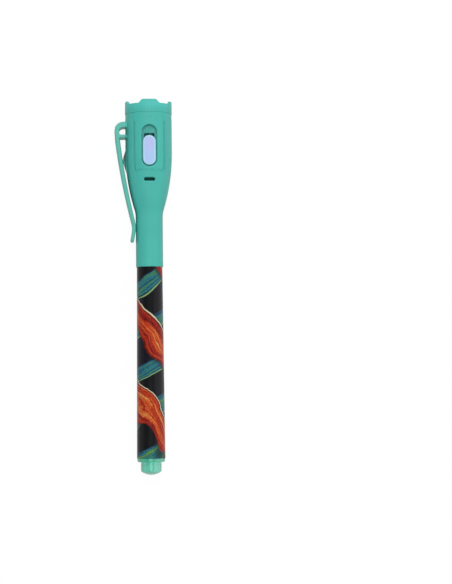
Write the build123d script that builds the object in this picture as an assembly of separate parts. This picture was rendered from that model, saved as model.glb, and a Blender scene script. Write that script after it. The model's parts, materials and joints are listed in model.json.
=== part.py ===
from build123d import *
import math
import os

# A secret-message pen: a fibre-tip pen with invisible ink, under a cap that is a small ultraviolet torch.
# Every piece is drawn on the pen's own axis, in millimetres: +Z runs from the tail to the torch, the switch
# faces -Y and the clip -X, and height zero is the rear face of the tail flange.
# The finished pen then lies on a table, on its tail, its head and the corner of its clip.

# Fits: the gap between two faces
PRESS_GAP = 0.02  # pieces pressed or glued together
SLIDE_GAP = 0.1  # pieces that slide past each other
CAP_CLEARANCE = 0.06  # cap on the bead of the nib holder
SEAL_CLEARANCE = 0.08  # nib seal round the nib tube
CORE_CLEARANCE = 0.3  # wrapped ink core in the narrow end of the barrel
CELL_CLEARANCE = 0.1  # cells in their carrier
SEAT_GAP = 0.1  # cap above the front face of the barrel

# Ink core and barrel
INK_CORE_RADIUS = 3.05
CORE_WRAP = 0.1
BARREL_LENGTH = 68.9
BARREL_WALL = 1.0
BARREL_DRAFT = 0.5  # how much the radius grows from the front to the rear
FILM_THICKNESS = 0.1
FILM_SETBACK = 0.25  # bare barrel in front of the printed film

# Tail plug
FLANGE_THICKNESS = 1.3
FLANGE_ROUND = 0.4
SPIGOT_LENGTH = 4.6
SPIGOT_DOME = 1.3
SPIGOT_ROUND = 0.6
GATE_RADIUS = 0.6  # dimple of the moulding gate in the end
GATE_DEPTH = 0.15
PLUG_WALL = 0.9
PLUG_INSERT = 8.0
CORE_SEAT_DEPTH = 3.0  # from the barrel's rear face to the shoulder under the ink core

# Nib and its holder
NOSE_STEP = 0.25  # how far the nose stands out over the barrel's bore
NOSE_LENGTH = 7.3
SHOULDER_LENGTH = 0.8
TUBE_RADIUS = 2.35
TUBE_LENGTH = 5.4
HOLDER_INSERT = 8.0
HOLDER_WALL = 0.9
BEAD_HEIGHT = 0.06
BEAD_WIDTH = 0.6
BEAD_RISE = 0.9
NIB_RADIUS = 1.03
NIB_EXPOSED = 3.8
NIB_BULLET = 2.6
NIB_POINT = 0.5
NIB_POINT_ROUND = 0.35
NIB_BURIED = 6.0

# Cap socket
SOCKET_WALL = 1.03
RIM_ROUND = 0.45
NIB_HEADROOM = 1.2
SEAL_WALL = 0.9
SEAL_LIFT = 0.6  # nib seal above the shoulder of the nib holder
BULKHEAD = 1.2

# Head of the cap
POCKET_DEPTH = 6.0
LEDGE_WIDTH = 0.5
FOOT_LIP = 0.5
HEAD_WALL = 1.5
TAPER_FILLET = 10.0
OGIVE_RADIUS = 70.0
NECK_DEPTH = 0.06
NECK_HEIGHT = 1.9
GROOVE_ANGLE = 41.0  # from the switch and from the back, on both sides
GROOVE_RADIUS = 0.8
GROOVE_DEPTH = 0.3
GROOVE_LENGTH = 17.5
GROOVE_DROP = 1.2  # below the neck
PANEL_LINE_WIDTH = 0.8
PANEL_LINE_DEPTH = 0.15
PANEL_LINE_DROP = 1.5  # below the recess of the switch
TAB_SLOT_WIDTH = 3.9
TAB_SLOT_HEIGHT = 1.2
TAB_SLOT_DROP = 0.78  # below the lowest cell
OPENING_ROUND = 0.35  # rims of the recess and of the tab slot

# Cells, their carrier and their contacts
CELL_RADIUS = 3.95
CELL_HEIGHT = 3.6
CELL_LID_RADIUS = 3.1
CELL_LID_HEIGHT = 0.5
CELL_ROUND = 0.25
CELL_NAMES = ("cell_lower", "cell_middle", "cell_upper")
CARRIER_WALL = 0.85
CARRIER_FLOOR = 0.9
CARRIER_RISE = 0.5  # above the top cell
FLAT_DEPTH = 0.15
SPRING_HEIGHT = 3.3
SPRING_RADIUS = 2.6
SPRING_WIRE = 0.45
SPRING_TURNS = 3
STRIP_THICKNESS = 0.2
STRIP_WIDTH = 1.6
STRIP_PAD_RADIUS = 3.2
CONTACT_GAP = 1.8  # between the end of the strip and the end of the cathode lead
GUARD_WIDTH = 4.0
GUARD_HEIGHT = 2.1
GUARD_THICKNESS = 0.4

# Lamp, reflector and crown
LED_RADIUS = 2.5
LED_FLANGE_RADIUS = 2.9
LED_FLANGE_HEIGHT = 1.0
LED_HEIGHT = 8.6
LED_STANDOFF = 0.9
LED_FLAT = 0.4  # cut off the flange on the cathode side
LEAD_SIZE = 0.5
LEAD_PITCH = 2.54
LEAD_BEND = 0.3
LEAD_FOOT = 1.9
NECK_WALL = 0.6
THROAT_RISE = 4.1
REFLECTOR_WALL = 0.7
REFLECTOR_RISE = 4.2  # mouth above the tip of the lamp
REFLECTOR_BOW = 0.45
MOUTH_FLANGE = 0.9
LIP_WIDTH = 0.7
BEZEL_WALL = 0.85
BEZEL_SPIGOT = 3.0
RIM_RISE = 1.46  # rim of the crown above the mouth of the reflector
CROWN_HEIGHT = 3.2
CROWN_PROUD = 0.05
CROWN_WALL = 1.05
CROWN_SPLAY = 0.6  # how much thicker the wall is at the foot of the teeth
CROWN_ROUND = 0.45
TOOTH_COUNT = 4
TOOTH_HEIGHT = 1.35
TOOTH_TOP_ANGLE = 35.0
TOOTH_BASE_ANGLE = 52.0
TOOTH_ROUND = 0.4
NOTCH_ROUND = 0.4

# Slide switch
RECESS_DEPTH = 1.14
DECK_THICKNESS = 1.0
DECK_SKIRT = 2.0  # flat wall below the recess
SWITCH_DROP = 4.65  # top of the recess below the top of the shell
SWITCH_TRAVEL = 3.4
BUTTON_WIDTH = 4.6
BUTTON_LENGTH = 10.65
BUTTON_MARGIN = 0.4  # recess round the button
BUTTON_PROUD = 0.15
BUTTON_ROUND = 0.6
STEM_WIDTH = 3.5
STEM_LENGTH = 5.25
TENON_WIDTH = 2.4
TENON_LENGTH = 3.4
CARRIAGE_WIDTH = 4.6
CARRIAGE_LENGTH = 8.4
CARRIAGE_THICKNESS = 0.7
WIPER_SPACE = 0.45
WIPER_THICKNESS = 0.15
WIPER_WIDTH = 2.0
WIPER_TAIL = 0.8
WIPER_BEND = 0.4
CONTACT_CLEARANCE = 0.05
BUMP_DROP = 3.0  # upper contact point below the middle of the switch
BUMP_OVERLAP = 0.6

# Clip
CLIP_WIDTH = 6.0
CLIP_THICKNESS = 1.66
CLIP_TOE_THICKNESS = 1.3
CLIP_STANDOFF = 2.2
CLIP_LEAN = 0.27  # how far the strap leans in between the arch and the flex line
CLIP_DROP = 2.91  # top of the arch below the top of the shell
CLIP_GAP = 0.06
CLIP_EDGE = 0.4
ARCH_RADIUS = 3.05
ARCH_EXTRA = 0.35  # how much thicker the top of the arch is than the strap
EYE_HEIGHT = 2.6
BAR_THICKNESS = 1.24
CLIP_ROOT = 0.7  # how deep the arch and the bar reach into the wall of the head
NUB_HEIGHT = 1.02
NUB_WIDTH = 4.0
NUB_RUN = 5.6
NUB_DROP = 6.74  # below the flex line of the clip
TOE_DROP = 3.58  # below the start of the taper
TOE_LENGTH = 4.9
TOE_FLARE = 0.86
TOE_BEND = 9.0
TOE_SINK = 0.24  # corner of the toe's bend, beyond its round
TIP_ROUND = 0.45

# Radii, from the ink core outwards
WRAP_RADIUS = INK_CORE_RADIUS + CORE_WRAP
BORE_FRONT = WRAP_RADIUS + CORE_CLEARANCE
NOSE_RADIUS = BORE_FRONT + NOSE_STEP
SOCKET_BORE = NOSE_RADIUS + BEAD_HEIGHT + CAP_CLEARANCE
SOCKET_RADIUS = SOCKET_BORE + SOCKET_WALL

# Distances from the axis to the faces of the switch, from the cells outwards
CARRIER_BORE = CELL_RADIUS + CELL_CLEARANCE
CARRIER_RADIUS = CARRIER_BORE + CARRIER_WALL
FOOT_RADIUS = CARRIER_RADIUS + FOOT_LIP
FLAT_FACE = CARRIER_RADIUS - FLAT_DEPTH
STRIP_BACK = FLAT_FACE + PRESS_GAP
CONTACT_FACE = STRIP_BACK + STRIP_THICKNESS
CARRIAGE_BACK = CONTACT_FACE + WIPER_SPACE
CARRIAGE_FRONT = CARRIAGE_BACK + CARRIAGE_THICKNESS
DECK_BACK = CARRIAGE_FRONT + SLIDE_GAP
DECK_FRONT = DECK_BACK + DECK_THICKNESS
HEAD_RADIUS = DECK_FRONT + RECESS_DEPTH
HEAD_BORE = HEAD_RADIUS - HEAD_WALL
BUTTON_RADIUS = HEAD_RADIUS + BUTTON_PROUD
CROWN_RADIUS = HEAD_RADIUS + CROWN_PROUD
BEZEL_RADIUS = HEAD_BORE - PRESS_GAP
BEZEL_BORE = BEZEL_RADIUS - BEZEL_WALL
MOUTH_RADIUS = BEZEL_BORE - PRESS_GAP - LIP_WIDTH
THROAT_RADIUS = LED_RADIUS + PRESS_GAP

# Heights of the pen, from the tail up
BARREL_REAR = FLANGE_THICKNESS
BARREL_FRONT = BARREL_REAR + BARREL_LENGTH
CORE_REAR = BARREL_REAR + CORE_SEAT_DEPTH
HOLDER_REAR = BARREL_FRONT - HOLDER_INSERT
NOSE_TOP = BARREL_FRONT + NOSE_LENGTH
TUBE_BASE = NOSE_TOP + SHOULDER_LENGTH
TUBE_TOP = TUBE_BASE + TUBE_LENGTH
NIB_TIP = TUBE_TOP + NIB_EXPOSED
NIB_REAR = HOLDER_REAR - NIB_BURIED

# Heights of the cap, from its rim up
CAP_RIM = BARREL_FRONT + SEAT_GAP
SEAL_REAR = TUBE_BASE + SEAL_LIFT
SEAL_ROOF = NIB_TIP + NIB_HEADROOM
SEAL_TOP = SEAL_ROOF + SEAL_WALL
SOCKET_END = SEAL_TOP + PRESS_GAP
POCKET_FLOOR = SOCKET_END + BULKHEAD
LEDGE = POCKET_FLOOR + POCKET_DEPTH
FLOOR_BASE = LEDGE + PRESS_GAP
FLOOR_TOP = FLOOR_BASE + CARRIER_FLOOR
STRIP_BASE = FLOOR_TOP + PRESS_GAP
SPRING_BASE = STRIP_BASE + STRIP_THICKNESS
CELLS_BASE = SPRING_BASE + SPRING_HEIGHT
CELLS_TOP = CELLS_BASE + len(CELL_NAMES) * CELL_HEIGHT
CARRIER_TOP = CELLS_TOP + CARRIER_RISE
LED_BASE = CELLS_TOP + PRESS_GAP + LEAD_SIZE + LED_STANDOFF
LED_SHOULDER = LED_BASE + LED_FLANGE_HEIGHT
LED_TIP = LED_BASE + LED_HEIGHT
THROAT = LED_SHOULDER + THROAT_RISE
MOUTH = LED_TIP + REFLECTOR_RISE
CROWN_RIM = MOUTH + RIM_RISE
CROWN_TOP = CROWN_RIM + TOOTH_HEIGHT
SHELL_TOP = CROWN_RIM - CROWN_HEIGHT
BEZEL_REAR = SHELL_TOP - BEZEL_SPIGOT
NECK_BASE = SHELL_TOP - NECK_HEIGHT

# Heights of the switch
RECESS_TOP = SHELL_TOP - SWITCH_DROP
RECESS_WIDTH = BUTTON_WIDTH + 2 * BUTTON_MARGIN
RECESS_LENGTH = BUTTON_LENGTH + SWITCH_TRAVEL + 2 * BUTTON_MARGIN
RECESS_BASE = RECESS_TOP - RECESS_LENGTH
SWITCH_MIDDLE = RECESS_BASE + BUTTON_MARGIN + BUTTON_LENGTH / 2
TAB_SLOT_MIDDLE = CELLS_BASE - TAB_SLOT_DROP
STRIP_TOP = SWITCH_MIDDLE - BUMP_DROP + BUMP_OVERLAP
CATHODE_END = STRIP_TOP + CONTACT_GAP

# Taper between the socket and the head: a hollow fillet that runs into a long ogive
TAPER_TURN = math.acos(1 - (HEAD_RADIUS - SOCKET_RADIUS) / (TAPER_FILLET + OGIVE_RADIUS))
OGIVE_CENTRE = HEAD_RADIUS - OGIVE_RADIUS
FOOT_REACH = FOOT_RADIUS + PRESS_GAP - OGIVE_CENTRE
OGIVE_TOP = LEDGE + math.sqrt((OGIVE_RADIUS - HEAD_WALL) ** 2 - FOOT_REACH**2)
TAPER_START = OGIVE_TOP - (TAPER_FILLET + OGIVE_RADIUS) * math.sin(TAPER_TURN)

# Places on the clip, as distances from the axis and heights
CLIP_INNER = HEAD_RADIUS + CLIP_STANDOFF
CLIP_OUTER = CLIP_INNER + CLIP_THICKNESS
CLIP_TOP = SHELL_TOP - CLIP_DROP
ARCH_BORE = ARCH_RADIUS - CLIP_THICKNESS
ARCH_BASE = CLIP_TOP - ARCH_RADIUS
BAR_TOP = CLIP_TOP - CLIP_THICKNESS - ARCH_EXTRA - EYE_HEIGHT
BAR_BASE = BAR_TOP - BAR_THICKNESS
FLEX_REACH = CLIP_INNER - CLIP_LEAN + CLIP_THICKNESS / 2
FLEX_HEIGHT = BAR_BASE - CLIP_THICKNESS / 2 - SLIDE_GAP
NUB_HEIGHT_ON_AXIS = FLEX_HEIGHT - NUB_DROP
TOE_HEIGHT = TAPER_START - TOE_DROP


def barrel_bore(height):
    """Radius of the barrel's tapered bore at a height."""
    return BORE_FRONT + BARREL_DRAFT * (BARREL_FRONT - height) / BARREL_LENGTH


def barrel_radius(height):
    """Outer radius of the barrel at a height."""
    return barrel_bore(height) + BARREL_WALL


def profile(*points):
    """Straight-sided outline of (radius, height) points in the plane of the clip."""
    return make_face(Polyline(*[(radius, 0, height) for radius, height in points], close=True))


def turned(*points):
    """Solid of revolution about the pen's axis, from (radius, height) points."""
    return revolve(profile(*points), Axis.Z)


def tube(bore, radius, base, top):
    """Straight tube, or a rod where the bore is zero."""
    return turned((bore, base), (radius, base), (radius, top), (bore, top))


def front_block(width, length, middle, back, front):
    """Block on the switch side, between two distances from the axis."""
    face = Plane.XZ.offset(back) * Pos(0, middle) * Rectangle(width, length)
    return extrude(face, front - back)


def front_slot(width, length, middle, back, front):
    """Round-ended block on the switch side, longer along the pen."""
    face = Plane.XZ.offset(back) * Pos(0, middle) * SlotOverall(length, width, rotation=90)
    return extrude(face, front - back)


def bent(section, *points, bend):
    """Wire or strip of one section along straight runs with round bends."""
    path = FilletPolyline(*points, radius=bend)
    return sweep(Plane(origin=path @ 0, z_dir=path % 0, x_dir=(1, 0, 0)) * section, path=path)


def make_barrel():
    """Tapered barrel tube."""
    return turned(
        (barrel_bore(BARREL_REAR), BARREL_REAR),
        (barrel_radius(BARREL_REAR), BARREL_REAR),
        (barrel_radius(BARREL_FRONT), BARREL_FRONT),
        (barrel_bore(BARREL_FRONT), BARREL_FRONT),
    )


def make_barrel_sleeve():
    """Printed film shrunk on the barrel."""
    top = BARREL_FRONT - FILM_SETBACK
    rear_bore = barrel_radius(BARREL_REAR) + PRESS_GAP
    front_bore = barrel_radius(top) + PRESS_GAP
    return turned(
        (rear_bore, BARREL_REAR),
        (rear_bore + FILM_THICKNESS, BARREL_REAR),
        (front_bore + FILM_THICKNESS, top),
        (front_bore, top),
    )


def make_tail_plug():
    """Tail plug: flange, round spigot outside the barrel and a cup for the ink core inside."""
    insert_top = BARREL_REAR + PLUG_INSERT
    cup_bore = WRAP_RADIUS + SLIDE_GAP
    core_out = NOSE_RADIUS - PLUG_WALL
    dome_edge = SPIGOT_DOME - SPIGOT_LENGTH
    dome_radius = (NOSE_RADIUS**2 + SPIGOT_DOME**2) / (2 * SPIGOT_DOME)
    half_turn = math.asin(NOSE_RADIUS / dome_radius) / 2
    dome_rise = dome_radius * (1 - math.cos(half_turn))
    dome_middle = (dome_radius * math.sin(half_turn), 0, dome_rise - SPIGOT_LENGTH)
    plug = turned(
        (0, dome_edge),
        (NOSE_RADIUS, dome_edge),
        (NOSE_RADIUS, 0),
        (barrel_radius(BARREL_REAR), 0),
        (barrel_radius(BARREL_REAR), BARREL_REAR),
        (barrel_bore(BARREL_REAR) - PRESS_GAP, BARREL_REAR),
        (barrel_bore(insert_top) - PRESS_GAP, insert_top),
        (cup_bore, insert_top),
        (cup_bore, CORE_REAR),
        (core_out, CORE_REAR),
        (core_out, dome_edge + PLUG_WALL),
        (0, dome_edge + PLUG_WALL),
    )
    dome = Polyline((0, 0, -SPIGOT_LENGTH), (0, 0, dome_edge), (NOSE_RADIUS, 0, dome_edge))
    dome += ThreePointArc((NOSE_RADIUS, 0, dome_edge), dome_middle, (0, 0, -SPIGOT_LENGTH))
    plug += revolve(make_face(dome), Axis.Z)
    rims = plug.edges().filter_by(GeomType.CIRCLE).sort_by(Axis.Z)
    plug = fillet(rims.filter_by_position(Axis.Z, dome_edge - PRESS_GAP, dome_edge + PRESS_GAP), SPIGOT_ROUND)
    flange_edge = plug.edges().filter_by(GeomType.CIRCLE).filter_by_position(Axis.Z, -PRESS_GAP, PRESS_GAP)
    plug = fillet(flange_edge.sort_by(SortBy.RADIUS)[-1], FLANGE_ROUND)
    return plug - Pos(0, 0, -SPIGOT_LENGTH) * Cylinder(GATE_RADIUS, 2 * GATE_DEPTH)


def make_nib_holder():
    """Nib holder: plug in the barrel, wide nose with a snap bead, shoulder and nib tube."""
    chamber = BORE_FRONT - PRESS_GAP - HOLDER_WALL
    nib_bore = NIB_RADIUS + PRESS_GAP
    bead_middle = BARREL_FRONT + BEAD_RISE
    outline = [
        (chamber, HOLDER_REAR),
        (BORE_FRONT - PRESS_GAP, HOLDER_REAR),
        (BORE_FRONT - PRESS_GAP, BARREL_FRONT),
        (NOSE_RADIUS, BARREL_FRONT),
        (NOSE_RADIUS, bead_middle - BEAD_WIDTH / 2),
        (NOSE_RADIUS + BEAD_HEIGHT, bead_middle),
        (NOSE_RADIUS, bead_middle + BEAD_WIDTH / 2),
        (NOSE_RADIUS, NOSE_TOP),
        (TUBE_RADIUS, TUBE_BASE),
        (TUBE_RADIUS, TUBE_TOP),
        (nib_bore, TUBE_TOP),
        (nib_bore, NOSE_TOP - HOLDER_WALL),
        (chamber, NOSE_TOP - HOLDER_WALL),
    ]
    return turned(*outline)


def make_nib():
    """Fibre nib with a bullet point."""
    shoulder = NIB_TIP - NIB_BULLET
    narrowing = NIB_RADIUS - NIB_POINT
    sweep_radius = (NIB_BULLET**2 + narrowing**2) / (2 * narrowing)
    half_turn = math.asin(NIB_BULLET / sweep_radius) / 2
    drawn_in = sweep_radius * (1 - math.cos(half_turn))
    flank = (NIB_RADIUS - drawn_in, 0, shoulder + sweep_radius * math.sin(half_turn))
    outline = Polyline((NIB_POINT, 0, NIB_TIP), (0, 0, NIB_TIP), (0, 0, NIB_REAR), (NIB_RADIUS, 0, NIB_REAR))
    outline += Line((NIB_RADIUS, 0, NIB_REAR), (NIB_RADIUS, 0, shoulder))
    outline += ThreePointArc((NIB_RADIUS, 0, shoulder), flank, (NIB_POINT, 0, NIB_TIP))
    nib = revolve(make_face(outline), Axis.Z)
    return fillet(nib.edges().filter_by(GeomType.CIRCLE).sort_by(Axis.Z)[-1], NIB_POINT_ROUND)


def make_ink_core():
    """Fibre ink core, pierced at the front by the nib."""
    top = HOLDER_REAR - PRESS_GAP
    hole = tube(0, NIB_RADIUS + PRESS_GAP, NIB_REAR - PRESS_GAP, top)
    return tube(0, INK_CORE_RADIUS, CORE_REAR + PRESS_GAP, top) - hole


def make_ink_core_wrap():
    """Film round the ink core."""
    return tube(INK_CORE_RADIUS, WRAP_RADIUS, CORE_REAR + PRESS_GAP, HOLDER_REAR - PRESS_GAP)


def make_inner_cap():
    """Nib seal: a cup in the end of the socket that closes round the nib tube."""
    bore = TUBE_RADIUS + SEAL_CLEARANCE
    radius = SOCKET_BORE - PRESS_GAP
    return turned(
        (bore, SEAL_REAR),
        (radius, SEAL_REAR),
        (radius, SEAL_TOP),
        (0, SEAL_TOP),
        (0, SEAL_ROOF),
        (bore, SEAL_ROOF),
    )


def head_outside(inset, top):
    """Outside of the cap as a solid of revolution, moved in by an inset and cut off at a height."""
    fillet_radius = TAPER_FILLET + inset
    ogive_radius = OGIVE_RADIUS - inset
    half_turn = TAPER_TURN / 2
    fillet_centre = SOCKET_RADIUS + TAPER_FILLET

    def on_fillet(turn):
        reach = fillet_centre - fillet_radius * math.cos(turn)
        return (reach, 0, TAPER_START + fillet_radius * math.sin(turn))

    def on_ogive(turn):
        reach = OGIVE_CENTRE + ogive_radius * math.cos(turn)
        return (reach, 0, OGIVE_TOP - ogive_radius * math.sin(turn))

    outline = Polyline(on_ogive(0), (HEAD_RADIUS - inset, 0, top), (0, 0, top), (0, 0, CAP_RIM))
    outline += Polyline((0, 0, CAP_RIM), (SOCKET_RADIUS - inset, 0, CAP_RIM), on_fillet(0))
    outline += ThreePointArc(on_fillet(0), on_fillet(half_turn), on_fillet(TAPER_TURN))
    outline += ThreePointArc(on_ogive(TAPER_TURN), on_ogive(half_turn), on_ogive(0))
    return revolve(make_face(outline), Axis.Z)


def make_groove():
    """Rounded channel on the switch side that follows the head and its taper."""
    lift = GROOVE_RADIUS - GROOVE_DEPTH
    radius = OGIVE_RADIUS + lift
    top = NECK_BASE - GROOVE_DROP
    end_turn = math.asin((OGIVE_TOP - top + GROOVE_LENGTH) / radius)

    def on_ogive(turn):
        return (0, -OGIVE_CENTRE - radius * math.cos(turn), OGIVE_TOP - radius * math.sin(turn))

    start = (0, -HEAD_RADIUS - lift, top)
    end = on_ogive(end_turn)
    path = Line(start, on_ogive(0)) + ThreePointArc(on_ogive(0), on_ogive(end_turn / 2), end)
    channel = sweep(Plane(origin=start, z_dir=(0, 0, -1)) * Circle(GROOVE_RADIUS), path=path)
    return channel + Pos(*start) * Sphere(GROOVE_RADIUS) + Pos(*end) * Sphere(GROOVE_RADIUS)


def make_cap_body():
    """Outside of the cap shell: socket, taper, head with four grooves, a line under the switch and a neck."""
    rim_edge = head_outside(0, NECK_BASE).edges().filter_by(GeomType.CIRCLE).sort_by(Axis.Z)[0]
    body = fillet(rim_edge, RIM_ROUND)
    groove = make_groove()
    for angle in (-GROOVE_ANGLE, GROOVE_ANGLE, 180 - GROOVE_ANGLE, 180 + GROOVE_ANGLE):
        body -= Rot(0, 0, angle) * groove
    line_width = 2 * HEAD_BORE * math.sin(math.radians(GROOVE_ANGLE))
    line_height = RECESS_BASE - PANEL_LINE_DROP
    line = front_block(line_width, PANEL_LINE_WIDTH, line_height, HEAD_BORE - HEAD_WALL, CROWN_RADIUS)
    body -= (head_outside(0, NECK_BASE) - head_outside(PANEL_LINE_DEPTH, NECK_BASE)) & line
    return body + tube(0, HEAD_RADIUS - NECK_DEPTH, NECK_BASE - HEAD_WALL, SHELL_TOP)


def make_clip_bridge():
    """Fixed end of the clip: the arch over the lanyard eye, the bar under it and the strap beside it."""
    root = HEAD_RADIUS - CLIP_ROOT
    arch_reach = CLIP_OUTER - ARCH_RADIUS
    bore_base = ARCH_BASE - ARCH_EXTRA
    eye_top = bore_base + ARCH_BORE
    slant = math.sqrt(0.5)

    def strap_inner(height):
        return CLIP_INNER - CLIP_LEAN * (bore_base - height) / (bore_base - FLEX_HEIGHT)

    crest = (-arch_reach - slant * ARCH_RADIUS, ARCH_BASE + slant * ARCH_RADIUS)
    side = ThreePointArc((-arch_reach, CLIP_TOP), crest, (-CLIP_OUTER, ARCH_BASE))
    side += Polyline(
        (-CLIP_OUTER, ARCH_BASE),
        (CLIP_LEAN - CLIP_OUTER, FLEX_HEIGHT),
        (CLIP_LEAN - CLIP_INNER, FLEX_HEIGHT),
        (-strap_inner(BAR_BASE), BAR_BASE),
        (-root, BAR_BASE),
        (-root, CLIP_TOP),
        (-arch_reach, CLIP_TOP),
    )
    vault = (-arch_reach - slant * ARCH_BORE, bore_base + slant * ARCH_BORE)
    eye = ThreePointArc((-arch_reach, eye_top), vault, (-CLIP_INNER, bore_base))
    eye += Polyline(
        (-CLIP_INNER, bore_base),
        (-strap_inner(BAR_TOP), BAR_TOP),
        (-root, BAR_TOP),
        (-root, eye_top),
        (-arch_reach, eye_top),
    )
    bridge = extrude(Plane.XZ * (make_face(side) - make_face(eye)), CLIP_WIDTH / 2, both=True)
    face_edges = bridge.faces().filter_by(Axis.Y).edges()
    bridge = fillet(face_edges.filter_by_position(Axis.X, -CLIP_OUTER, -root, (True, False)), CLIP_EDGE)
    knuckle_axis = Plane.XZ * Pos(-FLEX_REACH, FLEX_HEIGHT)
    return bridge - extrude(knuckle_axis * Circle(CLIP_THICKNESS / 2 + SLIDE_GAP), CLIP_WIDTH, both=True)


def make_clip_nub():
    """Wedge on the head that the clip presses on."""
    root = HEAD_RADIUS - CLIP_ROOT
    side = make_face(
        Polyline(
            (-root, 0, NUB_HEIGHT_ON_AXIS - NUB_RUN),
            (-HEAD_RADIUS - NUB_HEIGHT, 0, NUB_HEIGHT_ON_AXIS),
            (-root, 0, NUB_HEIGHT_ON_AXIS + NUB_RUN),
            close=True,
        )
    )
    return extrude(side, NUB_WIDTH / 2, both=True)


def make_light_space():
    """Space inside the head for the light unit, with a flat wall behind the switch."""
    inner_ogive = OGIVE_RADIUS - HEAD_WALL
    ledge_bore = CARRIER_RADIUS - LEDGE_WIDTH
    foot_turn = math.asin((OGIVE_TOP - LEDGE) / inner_ogive)

    def on_ogive(turn):
        return (OGIVE_CENTRE + inner_ogive * math.cos(turn), 0, OGIVE_TOP - inner_ogive * math.sin(turn))

    outline = Polyline(on_ogive(0), (HEAD_BORE, 0, SHELL_TOP), (0, 0, SHELL_TOP), (0, 0, POCKET_FLOOR))
    outline += Polyline((0, 0, POCKET_FLOOR), (SOCKET_BORE, 0, POCKET_FLOOR), (ledge_bore, 0, LEDGE))
    outline += Polyline((ledge_bore, 0, LEDGE), on_ogive(foot_turn))
    outline += ThreePointArc(on_ogive(foot_turn), on_ogive(foot_turn / 2), on_ogive(0))
    deck_top = BEZEL_REAR - SLIDE_GAP
    deck_base = RECESS_BASE - DECK_SKIRT
    deck_middle = (deck_top + deck_base) / 2
    deck = front_block(2 * HEAD_RADIUS, deck_top - deck_base, deck_middle, DECK_BACK, HEAD_RADIUS)
    return revolve(make_face(outline), Axis.Z) - deck


def make_cap_shell():
    """Cap shell: socket, head, clip bridge and nub in one moulding, with switch recess and tab slot."""
    shell = make_cap_body() + make_clip_bridge() + make_clip_nub()
    shell -= tube(0, SOCKET_BORE, CAP_RIM, SOCKET_END)
    shell -= make_light_space()
    shell -= front_slot(RECESS_WIDTH, RECESS_LENGTH, RECESS_TOP - RECESS_LENGTH / 2, DECK_FRONT, CROWN_RADIUS)
    window_width = STEM_WIDTH + 2 * SLIDE_GAP
    window_length = STEM_LENGTH + SWITCH_TRAVEL + 2 * SLIDE_GAP
    window_middle = SWITCH_MIDDLE + SWITCH_TRAVEL / 2
    shell -= front_block(window_width, window_length, window_middle, CARRIAGE_FRONT, CROWN_RADIUS)
    tab_face = Plane.XZ.offset(CARRIER_RADIUS) * Pos(0, TAB_SLOT_MIDDLE)
    shell -= extrude(tab_face * SlotOverall(TAB_SLOT_WIDTH, TAB_SLOT_HEIGHT), CROWN_RADIUS - CARRIER_RADIUS)
    outer = shell.edges().filter_by_position(Axis.Y, -CROWN_RADIUS, -DECK_FRONT, (True, False))
    outer = outer.filter_by_position(Axis.X, -RECESS_WIDTH / 2, RECESS_WIDTH / 2)
    tab_base = TAB_SLOT_MIDDLE - TAB_SLOT_HEIGHT / 2
    tab_top = TAB_SLOT_MIDDLE + TAB_SLOT_HEIGHT / 2
    rims = outer.filter_by_position(Axis.Z, RECESS_BASE, RECESS_TOP)
    rims += outer.filter_by_position(Axis.Z, tab_base, tab_top)
    return fillet(rims, OPENING_ROUND)


def make_clip_arm():
    """Springy arm of the clip: a tapered, bowed strap with a turned-out toe, round at its flex line."""
    toe_inner = SOCKET_RADIUS + CLIP_GAP - TOE_SINK
    nub_inner = HEAD_RADIUS + NUB_HEIGHT + CLIP_GAP
    share = NUB_DROP / (FLEX_HEIGHT - TOE_HEIGHT)
    nub_thickness = CLIP_THICKNESS + share * (CLIP_TOE_THICKNESS - CLIP_THICKNESS)
    tip_inner = toe_inner + TOE_FLARE
    tip_height = TOE_HEIGHT - TOE_LENGTH

    def spot(reach, height):
        return (-reach, 0, height)

    root_in = spot(FLEX_REACH - CLIP_THICKNESS / 2, FLEX_HEIGHT)
    root_out = spot(FLEX_REACH + CLIP_THICKNESS / 2, FLEX_HEIGHT)
    toe_in = spot(toe_inner, TOE_HEIGHT)
    toe_out = spot(toe_inner + CLIP_TOE_THICKNESS, TOE_HEIGHT)
    tip_in = spot(tip_inner, tip_height)
    tip_out = spot(tip_inner + CLIP_TOE_THICKNESS, tip_height)
    root_top = spot(FLEX_REACH, FLEX_HEIGHT + CLIP_THICKNESS / 2)
    outline = ThreePointArc(root_in, root_top, root_out)
    outline += ThreePointArc(root_out, spot(nub_inner + nub_thickness, NUB_HEIGHT_ON_AXIS), toe_out)
    outline += Polyline(toe_out, tip_out, tip_in, toe_in)
    outline += ThreePointArc(toe_in, spot(nub_inner, NUB_HEIGHT_ON_AXIS), root_in)
    arm = extrude(make_face(outline), CLIP_WIDTH / 2, both=True)
    cross_edges = arm.edges().filter_by(Axis.Y).group_by(Axis.Z)
    arm = fillet(cross_edges[1], TOE_BEND)
    tip_edges = arm.edges().filter_by(Axis.Y).group_by(Axis.Z)[0]
    arm = fillet(tip_edges, TIP_ROUND)
    side_edges = arm.faces().filter_by(Axis.Y).edges()
    return fillet(side_edges.filter_by_position(Axis.Z, tip_height, FLEX_HEIGHT), CLIP_EDGE)


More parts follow.
